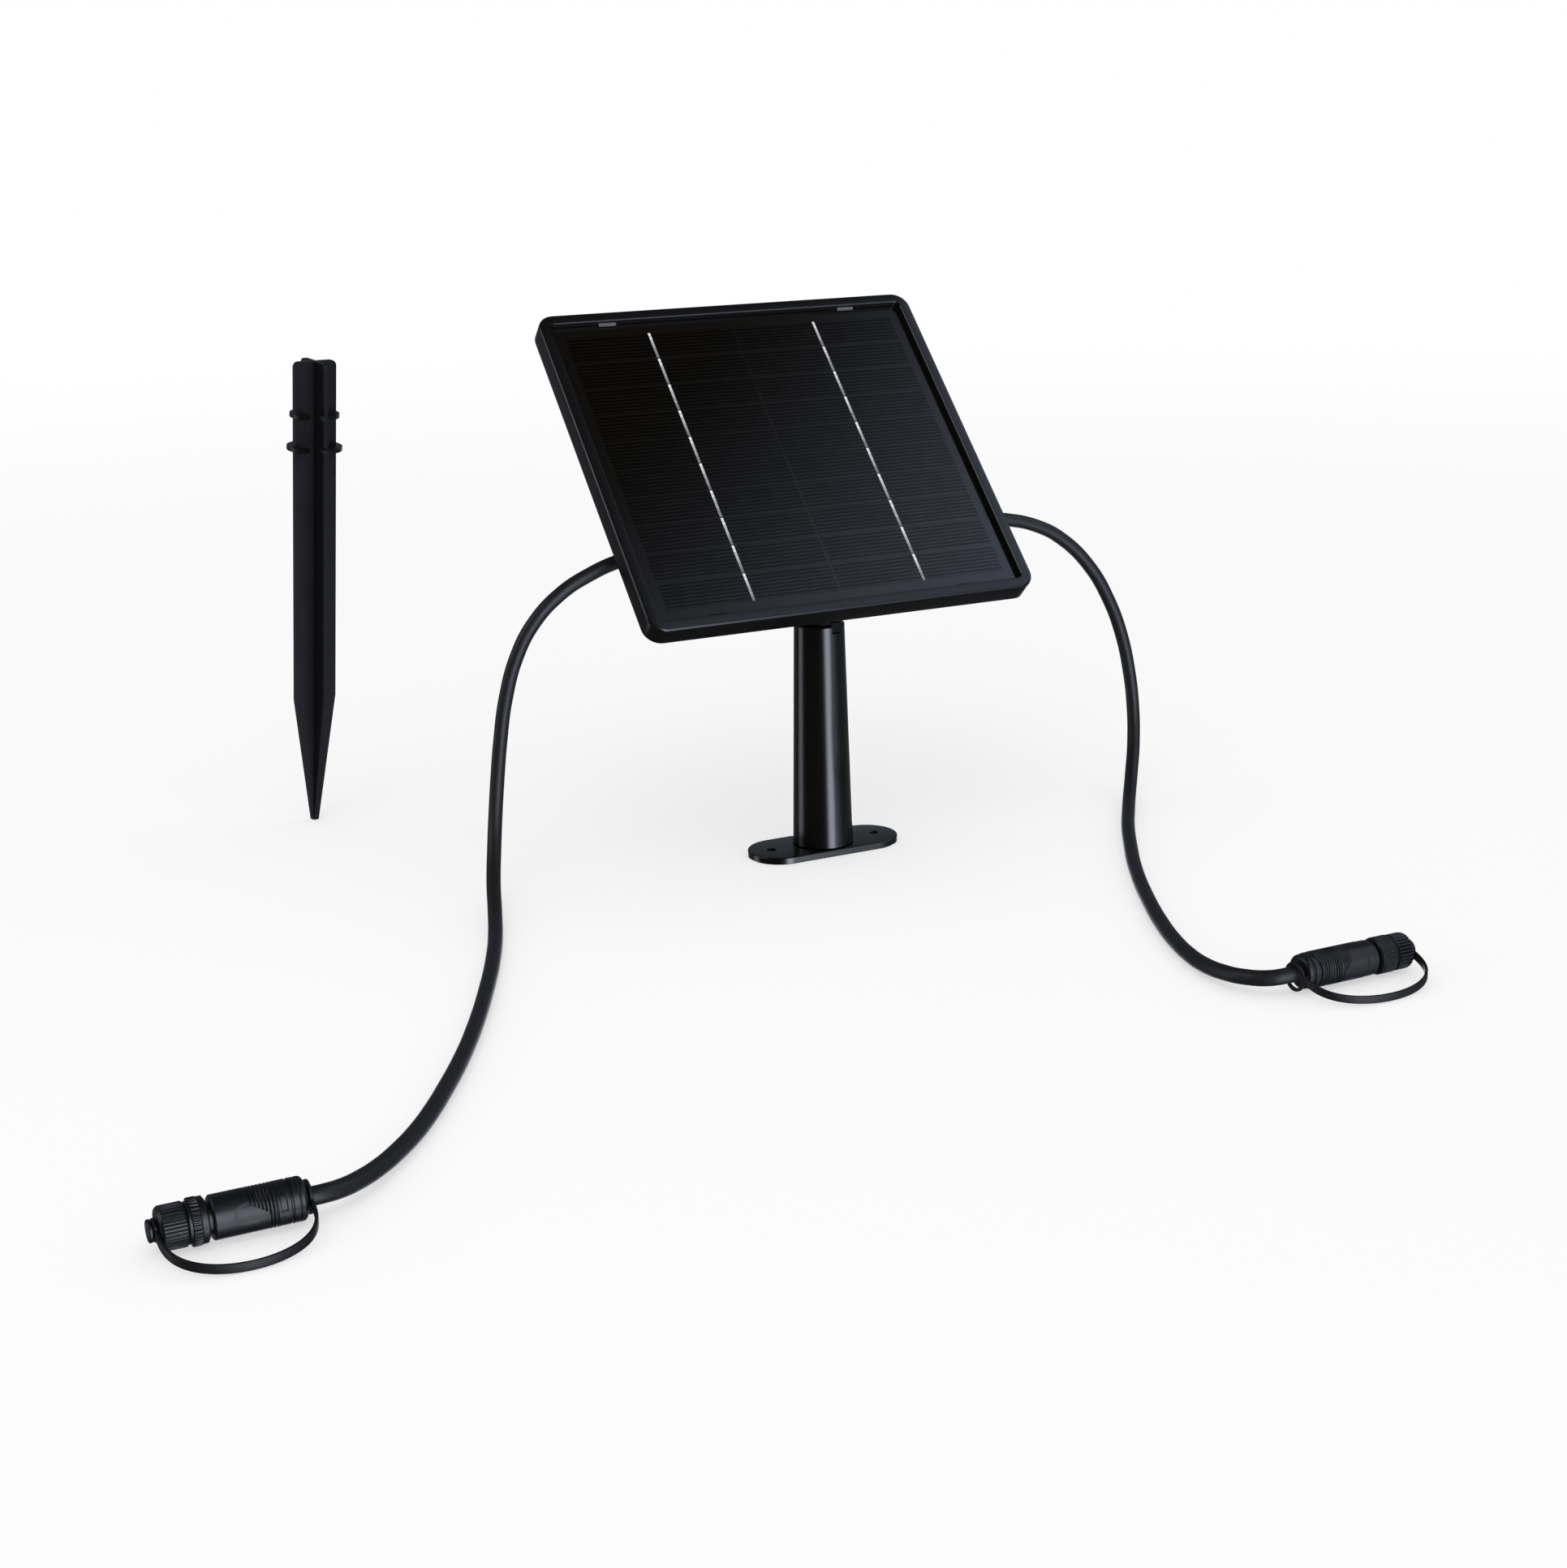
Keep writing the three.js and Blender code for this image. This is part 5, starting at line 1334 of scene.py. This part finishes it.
@dataclass
class Stand:
    """The foot plate, the tapered post and the neck that carries the hinge."""

    foot_thickness: float = 3.0
    foot_round: float = 0.7
    foot_steps: int = 24
    hole_offset: float = 25.0
    hole_radius: float = 2.0
    hole_break: float = 0.35
    hole_steps: int = 32
    spigot_wall: float = 2.0
    spigot_break: float = 0.8
    spigot_sink: float = 0.1  # how far it starts below the plate's top
    spigot_steps: int = 64
    post_top_radius: float = 11.0
    post_wall: float = 2.3
    rim_round: float = 1.3
    edge_break: float = 0.3
    keyway_low: Point = (0.6, 97.6)  # sideways from the post's axis, and above the ground
    keyway_width: float = 5.4
    post_steps: int = 96
    post_edge: float = 0.2
    neck_edge: float = 0.35

    def build(self) -> None:
        """Builds the foot, the post and the neck."""
        self.build_foot()
        self.build_post()
        rounded("neck", SHADE_PAINTED_NECK, Body.STAND, self.neck_edge)

    def build_foot(self) -> None:
        """A long plate with round ends, two screw holes and the spigot that the post stands on."""
        box = PART_AXES.box("foot_plate")
        top, radius, low_break = self.foot_thickness, self.foot_round, self.edge_break
        section = [(low_break, 0.0), (0.0, low_break), *arc((radius, top - radius), radius, 180, 90, 4)]
        corner = box.size.y / 2 - 0.01  # so that a short straight edge is left between the corners
        plate = swept_round(box.size.xy, corner, section, 1.0, self.foot_steps, closed=False)
        hole, brim = self.hole_radius, self.hole_radius + self.hole_break
        low, high = -CUT_PAST, top + CUT_PAST
        bore = [(0.0, low), (hole, low), (hole, top - self.hole_break), (brim, top), (brim, high), (0.0, high)]
        tools = [
            moved(spun(bore, self.hole_steps), Matrix.Translation((side * self.hole_offset, 0, 0)))
            for side in (-1, 1)
        ]
        outer = PART_AXES.box("post").high.x - self.post_wall - GAP
        inner, small = outer - self.spigot_wall, self.spigot_break
        low, high = top - self.spigot_sink, box.high.z
        ring = [(inner, low), (outer, low), (outer, high - small), (outer - small, high), (inner, high)]
        shape = merged(carved(plate, *tools), spun(ring, self.spigot_steps, closed=True))
        piece(shape, "stadium_foot_plate", PART_AXES, POST_PLASTIC, Body.STAND, ["foot_plate"])

    def build_post(self) -> None:
        """A tapered tube with a round rim, and a keyway that stops the neck from turning."""
        box = PART_AXES.box("post")
        low, high, foot = box.low.z, box.high.z, box.high.x
        top, radius, wall, small = self.post_top_radius, self.rim_round, self.post_wall, self.edge_break
        profile = [
            (foot - wall, low), (foot - small, low), (foot, low + small),
            *arc((top - radius, high - radius), radius, 0, 90, 6), (top - wall, high),
        ]
        x, z = self.keyway_low
        keyway = slab((x, -foot, z), (x + self.keyway_width, 0, high + CUT_PAST))
        shape = carved(spun(profile, self.post_steps, closed=True), keyway)
        piece(
            shape, "glossy_post", PART_AXES, POST_PLASTIC, Body.STAND, ["post"], self.post_edge, TURNED_CREASE
        )


@dataclass
class GroundSpike:
    """The cross-finned spike, which stands apart."""

    edge: float = 0.3

    def build(self) -> None:
        """Rounds the fins and collars a little."""
        rounded("ground_spike", SPIKE_PLASTIC, Body.STAND, self.edge)


# ---------------------------------------------------------------- plugs


class Around(NamedTuple):
    """A point on a turned piece: along its axis, and round it in degrees from straight up."""

    along: float
    angle: float

    @property
    def aside(self) -> float:
        """How far round it lies from straight up, either way."""
        return abs(self.angle)

    def ribs(self, count: int) -> float:
        """From -1 between the ribs to 1 on a rib, for this many ribs round the axis."""
        return math.cos(math.radians(count * self.angle))

    def flutes(self, count: int, depth: float, flank: Point, stretch: Place) -> float:
        """The relief of the grooves between this many ribs, along a stretch (start, end, fade) of the axis."""
        return -depth * (1 - step_at(self.ribs(count), *flank)) * band(self.along, *stretch)


@dataclass
class Plug:
    """A corded plug with its coupling nut, its screw cap and the cap's strap.

    Its axes have X along the plug from the rear face of its body, and Z up.
    """

    side: Side
    nut_body: Body
    cap_body: Body
    body_radius: float = 6.8
    waist: float = 1.3
    rear_round: float = 1.3
    nose: float = 0.5
    cord_socket: Point = (3.3, 2.0)
    spigot_radius: float = 4.9
    spigot_break: float = 0.3
    seal_groove: Place = (3.6, 2.6, 1.0)  # radius, and where it starts and ends before the spigot's end
    contact_bore: Point = (2.8, 8.0)
    cap_end_wall: float = 1.6
    neck_radius: float = 1.6
    button_radius: float = 3.5
    button_thickness: float = 1.2
    button_round: float = 0.45
    button_break: float = 0.2
    skirt_break: float = 0.3
    strap_thickness: float = 1.1
    strap_width: float = 3.0
    strap_round: float = 0.35
    strap_corner_steps: int = 2
    strap_reach: float = 24.5
    strap_stations: int = 48
    eye_wall: float = 1.7
    eye_break: float = 0.2
    eye_steps: int = 48
    cap_eye: float = 1.9
    cord_eye: float = 3.6
    cord_eye_wall: float = 1.7
    cord_eye_drop: float = 0.0
    rear_eye_gap: float = 1.2
    body_steps: int = 144
    station: float = 0.18  # about how far apart the rings of points along the body lie
    crease: float = 35.0
    grooves: tuple[Place, ...] = ()  # round the body: where each starts and ends, and its depth
    rib_start: float = 8.8
    rib_pitch: float = 1.1
    rib_depth: float = 0.36
    rib_flank: Point = (0.45, 0.95)  # where a groove's side starts and ends, from 0 on a rib to 1 between
    rib_steps: int = 8  # round each rib of the nut or the cap
    nut_ribs: int = 32
    nut_rib_depth: float = 0.55
    nut_rib_flank: Point = (-0.8, 0.4)  # where a rib's side starts and ends, from -1 in a groove to 1
    cap_ribs: int = 38
    cap_rib_depth: float = 0.5
    cap_ribs_start: Point = (0.4, 0.6)  # where they start and reach their full height, from the open end

    def __post_init__(self) -> None:
        """Takes the plug's place and lengths from the model."""
        name = self.side.value
        box = PART_AXES.box(f"plug_body_{name}")
        rear = box.high.x if self.side is Side.LEFT else box.low.x
        heading = Matrix.Rotation(math.pi if self.side is Side.LEFT else 0.0, 4, "Z")
        self.axes = Axes(Vector((rear, box.middle.y, box.middle.z)) * MM, heading)
        self.spigot_end = self.axes.box(f"plug_body_{name}").high.x
        self.nut = self.axes.box(f"coupling_nut_{name}")
        self.cap = self.axes.box(f"plug_cap_{name}")
        self.body_end = self.nut.low.x - self.waist
        self.button_start = self.cap.high.x - self.button_thickness
        self.cap_end = self.button_start - 2 * GAP - self.strap_thickness
        self.bore = self.spigot_radius + GAP

    def build(self) -> list[bpy.types.Object]:
        """Builds the plug.

        Returns:
            The pieces that hang on the cord.
        """
        name = self.side.value
        kept = [f"plug_insert_{name}", f"plug_pin_{name}_upper", f"plug_pin_{name}_lower"]
        repainted(SEAL_RUBBER, f"plug_seal_{name}")
        repainted(INSERT_PLASTIC, kept[0])
        repainted(GOLD_BRASS, *kept[1:])
        nut_steps, cap_steps = self.rib_steps * self.nut_ribs, self.rib_steps * self.cap_ribs
        made = [
            self.lathe(self.body_profile(), self.body_relief, "plug_body", Body.STAND, self.body_steps),
            self.lathe(self.nut_profile(), self.nut_relief, "coupling_nut", self.nut_body, nut_steps, True),
            self.lathe(self.cap_profile(), self.cap_relief, "plug_cap", self.cap_body, cap_steps),
            self.build_strap(),
        ]
        return made + [frame["nodes"][node] for node in [f"plug_seal_{name}", *kept]]

    def lathe(
        self,
        profile: Sequence[Point],
        relief: Callable[[Around], float],
        node: str,
        body: Body,
        steps: int,
        closed: bool = False,
    ) -> bpy.types.Object:
        """Turns a piece round the plug's axis and works a relief into its outside.

        Args:
            profile: Points of (radius, distance along the plug).
            relief: How far a point on the outside stands out from the profile.
            node: The first words of the node that the piece stands for.
            body: The body that it rides on.
            steps: The sides of the turned piece.
            closed: Whether the profile's last point is joined to its first.

        Returns:
            The piece.
        """
        shape = moved(spun(profile, steps, closed), Z_TO_X)
        outside = self.bore + 0.1
        for vertex in shape.verts:
            out = Vector((0.0, vertex.co.y, vertex.co.z))
            if out.length > outside:
                angle = math.degrees(math.atan2(-self.side.sign * out.y, out.z))
                vertex.co += out.normalized() * relief(Around(vertex.co.x, angle))
        name = f"{node}_{self.side.value}"
        return piece(shape, f"turned_{name}", self.axes, PLUG_PLASTIC, body, [name], crease=self.crease)

    def body_profile(self) -> list[Point]:
        """Draws the body's outline, with close stations where its relief lies, and its spigot and bores.

        Returns:
            Its points.
        """
        radius, turn, end = self.body_radius, self.rear_round, self.body_end
        start, stop = turn, end - self.nose
        count = round((stop - start) / self.station)
        stations = [(radius, start + (stop - start) * i / count) for i in range(1, count + 1)]
        socket, depth = self.cord_socket
        bore, bore_depth = self.contact_bore
        groove, back, front = self.seal_groove
        tip, spigot, small = self.spigot_end, self.spigot_radius, self.spigot_break
        return [
            (0.0, depth), (socket, depth), (socket, 0.0),
            *arc((radius - turn, turn), turn, -90, 0), *stations, (radius - self.nose, end),
            (spigot, end), (spigot, tip - back), (groove, tip - back), (groove, tip - front),
            (spigot, tip - front), (spigot, tip - small), (spigot - small, tip), (bore, tip),
            (bore, tip - bore_depth), (0.0, tip - bore_depth),
        ]

    def nut_profile(self) -> list[Point]:
        """The coupling nut's closed outline."""
        return [(self.bore, self.nut.low.x), *self.nut_outside(), (self.bore, self.nut.high.x)]

    def cap_profile(self) -> list[Point]:
        """Draws the cap's outline: its bore, its skirt and crown, and the button that holds the strap.

        Returns:
            Its points.
        """
        start, end, wide, small = self.cap.low.x, self.cap_end, self.body_radius, self.skirt_break
        floor = end - self.cap_end_wall
        first, last, radius = self.button_start, self.cap.high.x, self.button_radius
        turn, edge, neck = self.button_round, self.button_break, self.neck_radius
        return [
            (0.0, floor), (self.bore, floor), (self.bore, start), (wide - small, start), (wide, start + small),
            *[(wide, start + height) for height in self.cap_ribs_start], *self.skirt_outside(),
            (neck, end), (neck, first), (radius - edge, first), (radius, first + edge),
            *arc((radius - turn, last - turn), turn, 0, 90, 4), (0.0, last),
        ]

    def ribbed(self, along: float, end: float) -> float:
        """Gives the relief of the body's grooves, and of its ribs up to where they end.

        Args:
            along: A place along the plug.
            end: Where the ribs end.

        Returns:
            The relief there, negative in a groove.
        """
        wave = 0.5 - 0.5 * math.cos(2 * math.pi * (along - self.rib_start) / self.rib_pitch)
        relief = -self.rib_depth * step_at(wave, *self.rib_flank) * band(along, self.rib_start, end, 0.1)
        return relief - sum(depth * band(along, low, high) for low, high, depth in self.grooves)

    def nut_outside(self) -> list[Point]:
        """The outside of the nut, from the rear to the front."""
        raise NotImplementedError

    def skirt_outside(self) -> list[Point]:
        """The outside of the cap, from past its open end to its closed one."""
        raise NotImplementedError

    def body_relief(self, point: Around) -> float:
        """How far the body stands out from its profile."""
        raise NotImplementedError

    def nut_relief(self, point: Around) -> float:
        """How far the nut stands out from its profile."""
        raise NotImplementedError

    def cap_relief(self, point: Around) -> float:
        """How far the cap stands out from its profile."""
        raise NotImplementedError

    def build_strap(self) -> bpy.types.Object:
        """A flat band that loops from the cap's neck to the cord, with an eye at each end.

        Returns:
            The strap.
        """
        cap_middle = self.cap_end + GAP + self.strap_thickness / 2
        band_shape = bmesh.new()
        size = (self.strap_thickness, self.strap_width)
        route = [self.strap_point(i / self.strap_stations, cap_middle) for i in range(self.strap_stations + 1)]
        outlines = []
        for i, point in enumerate(route):
            along = (route[min(i + 1, len(route) - 1)] - route[max(i - 1, 0)]).normalized()
            width = (Vector((0, 0, 1)) - along * along.z).normalized()
            turn = Matrix((width.cross(along), width, along)).transposed().to_4x4()
            place = Matrix.Translation(point) @ turn
            outlines.append(rounded_outline(band_shape, size, self.strap_round, place, self.strap_corner_steps))
        drop = Vector((0.0, -self.side.sign, -1.0)) * self.cord_eye_drop
        shape = merged(
            skin(band_shape, outlines),
            self.eye(self.cap_eye, self.eye_wall, Vector((cap_middle, 0, 0))),
            self.eye(self.cord_eye, self.cord_eye_wall, Vector((-self.rear_eye_gap, 0, 0)) + drop),
        )
        name = f"cap_strap_{self.side.value}"
        return piece(shape, f"banded_{name}", self.axes, STRAP_RUBBER, Body.STAND, [name])

    def strap_point(self, share: float, cap_middle: float) -> Vector:
        """Finds a point on the strap's middle line.

        Args:
            share: The share of the way from the cap to the cord.
            cap_middle: Where the strap's middle lies along the plug at the cap.

        Returns:
            The point.
        """
        eased = share ** 3 * (share * (6 * share - 15) + 10)
        out = math.sin(math.pi * share)
        x = cap_middle + (-self.rear_eye_gap - cap_middle) * eased
        first = self.cap_eye + (self.cord_eye - self.cap_eye) * eased + self.eye_wall / 2
        y = first + (self.strap_reach - self.strap_thickness / 2 - first) * out
        drop = self.axes.origin.z / MM - self.strap_width / 2 - GAP / 2
        return Vector((x, -self.side.sign * y, -drop * out))

    def eye(self, radius: float, wall: float, middle: Vector) -> Shape:
        """Makes a flat ring round the plug's axis.

        Args:
            radius: Its inner radius.
            wall: Its width.
            middle: Where its middle lies.

        Returns:
            The ring.
        """
        half, small, outer = self.strap_thickness / 2, self.eye_break, radius + wall
        profile = [
            (radius, -half), (outer - small, -half), (outer, small - half), (outer, half - small),
            (outer - small, half), (radius, half),
        ]
        return moved(spun(profile, self.eye_steps, closed=True), Matrix.Translation(middle) @ Z_TO_X)


@dataclass
class LeftPlug(Plug):
    """The shorter plug: a smooth thumb pad among the ribs, and a coarse toothed nut."""

    side: Side = Side.LEFT
    nut_body: Body = Body.NUT_LEFT
    cap_body: Body = Body.CAP_LEFT
    grooves: tuple[Place, ...] = ((2.3, 2.55, 0.2), (4.5, 5.0, 0.45))
    window: tuple[Point, Point] = ((6.6, 8.3), (46, 86))  # along the plug, and in degrees
    window_height: float = 0.25
    ribs_end: Point = (11.5, 5.8)  # where the ribs end at the sides, and how much further on top
    pad_middle: Point = (17.4, 74.0)  # along the plug, and degrees from straight up
    pad_reach: Point = (5.2, 31.0)
    pad_depth: float = 0.14
    teeth: Place = (2.35, 4.85, 0.05)  # where they start and end on the nut, and how sharply
    flutes_share: float = 0.88  # of the cap's length
    flutes_flank: Point = (-1.0, 0.2)

    def body_relief(self, point: Around) -> float:
        """Two grooves, a raised window, ribs and a thumb pad.

        Args:
            point: A point on the body.

        Returns:
            How far it stands out.
        """
        along, aside = point.along, point.aside
        end, further = self.ribs_end
        relief = self.ribbed(along, end + further * step_at(90 - aside, 0, 45))
        ends, sides = self.window
        relief += self.window_height * band(along, *ends) * band(aside, *sides, 2.5)
        off = math.hypot(
            (along - self.pad_middle[0]) / self.pad_reach[0], (aside - self.pad_middle[1]) / self.pad_reach[1]
        )
        return relief - self.pad_depth * step_at(1 - off, 0.0, 0.35)

    def nut_outside(self) -> list[Point]:
        """A plain flange, a toothed ring and a narrower lip.

        Returns:
            Its points.
        """
        start, length = self.nut.low.x, self.nut.high.x - self.nut.low.x
        outline = (
            (6.4, 0.0), (7.1, 0.5), (7.1, 2.1), (6.85, 2.25), (7.3, 2.35), (7.3, 2.5), (7.3, 4.7), (7.15, 4.85),
            (6.4, 4.95), (6.4, length - 0.2), (6.2, length),
        )
        return [(radius, start + height) for radius, height in outline]

    def nut_relief(self, point: Around) -> float:
        """Square teeth on the toothed ring.

        Args:
            point: A point on the nut.

        Returns:
            How far it stands out.
        """
        (low, high, soft), start = self.teeth, self.nut.low.x
        stretch = (start + low, start + high, soft)
        return point.flutes(self.nut_ribs, self.nut_rib_depth, self.nut_rib_flank, stretch)

    @property
    def flutes_end(self) -> float:
        """Where the cap's flutes end."""
        return self.cap.low.x + (self.cap_end - self.cap.low.x) * self.flutes_share

    def skirt_outside(self) -> list[Point]:
        """A fluted skirt that ends in a plain chamfer.

        Returns:
            Its points.
        """
        flutes_end, end, radius = self.flutes_end, self.cap_end, self.body_radius
        return [
            (radius, flutes_end - 0.3), (radius, flutes_end), (radius - 0.1, flutes_end + 0.15),
            (radius - 0.35, end - 0.35), (radius - 0.8, end),
        ]

    def cap_relief(self, point: Around) -> float:
        """Thin flutes along the skirt."""
        stretch = (self.cap.low.x + 0.55, self.flutes_end - 0.2, 0.2)
        return point.flutes(self.cap_ribs, self.cap_rib_depth, self.flutes_flank, stretch)


@dataclass
class RightPlug(Plug):
    """The longer plug: stepped rear rings, arched ribs, a finely ribbed nut and a coarse cap."""

    side: Side = Side.RIGHT
    nut_body: Body = Body.NUT_RIGHT
    cap_body: Body = Body.CAP_RIGHT
    cord_eye: float = 4.3
    cord_eye_wall: float = 1.2
    cord_eye_drop: float = 0.95
    rear_eye_gap: float = 2.4
    grooves: tuple[Place, ...] = ((2.5, 2.95, 0.45), (5.1, 5.55, 0.45))
    rises: tuple[Place, ...] = ((2.6, 2.8, 0.25), (5.4, 5.6, 0.12))  # steps: start, end, height
    drops: tuple[Place, ...] = ((26.6, 26.8, 0.12), (30.2, 30.4, 0.15))
    ribs_end: Point = (15.5, 4.0)
    rib_start: float = 6.0
    rib_depth: float = 0.32
    nut_ribs: int = 46
    nut_rib_depth: float = 0.45
    nut_rib_flank: Point = (-1.0, 0.4)
    cap_ribs: int = 30
    cap_rib_depth: float = 0.75
    crown_round: float = 1.3

    def body_relief(self, point: Around) -> float:
        """Two notches and two steps up at the rear, arched ribs, and two steps down at the front.

        Args:
            point: A point on the body.

        Returns:
            How far it stands out.
        """
        along = point.along
        end, further = self.ribs_end
        relief = self.ribbed(along, end + further * step_at(110 - point.aside, 0, 60))
        relief -= sum(depth * (1 - step_at(along, low, high)) for low, high, depth in self.rises)
        return relief - sum(depth * step_at(along, low, high) for low, high, depth in self.drops)

    def nut_outside(self) -> list[Point]:
        """A long sleeve with a plain rear edge.

        Returns:
            Its points.
        """
        start, end = self.nut.low.x, self.nut.high.x
        return [
            (6.3, start), (6.8, start + 0.5), (6.8, start + 1.0), (7.0, start + 1.15), (7.0, start + 1.3),
            (7.0, start + 1.5), (7.0, end - 0.9), (7.0, end - 0.7), (6.9, end - 0.55), (6.6, end),
        ]

    def nut_relief(self, point: Around) -> float:
        """Fine ribs along the sleeve."""
        stretch = (self.nut.low.x + 1.45, self.nut.high.x - 0.85, 0.15)
        return point.flutes(self.nut_ribs, self.nut_rib_depth, self.nut_rib_flank, stretch)

    def skirt_outside(self) -> list[Point]:
        """A skirt whose end is rounded over."""
        start, end, radius, turn = self.cap.low.x, self.cap_end, self.body_radius, self.crown_round
        return [(radius, (start + end) / 2), *arc((radius - turn, end - turn), turn, 0, 90, 6)]

    def cap_relief(self, point: Around) -> float:
        """Coarse ribs that run over the round end."""
        hollow = 1 - math.sqrt(0.5 + 0.5 * point.ribs(self.cap_ribs))
        return -self.cap_rib_depth * hollow * step_at(point.along - self.cap.low.x, *self.cap_ribs_start)


# ---------------------------------------------------------------- the whole unit


def main() -> None:
    """Builds the studio and the unit, sub-assembly by sub-assembly."""
    logging.basicConfig(level=logging.INFO, format="%(name)s: %(message)s")
    Studio().build()
    cords = [Cord(Side.LEFT, 0.474, LEFT_ROUTE), Cord(Side.RIGHT, 0.486, RIGHT_ROUTE)]
    for cord in cords:
        cord.build()
    for assembly in (Panel(), RearHousing(), Hinge(), Stand(), GroundSpike()):
        assembly.build()
    for cord, plug in zip(cords, (LeftPlug(), RightPlug())):
        cord.declare(plug.build())


if __name__ == "__main__":
    main()
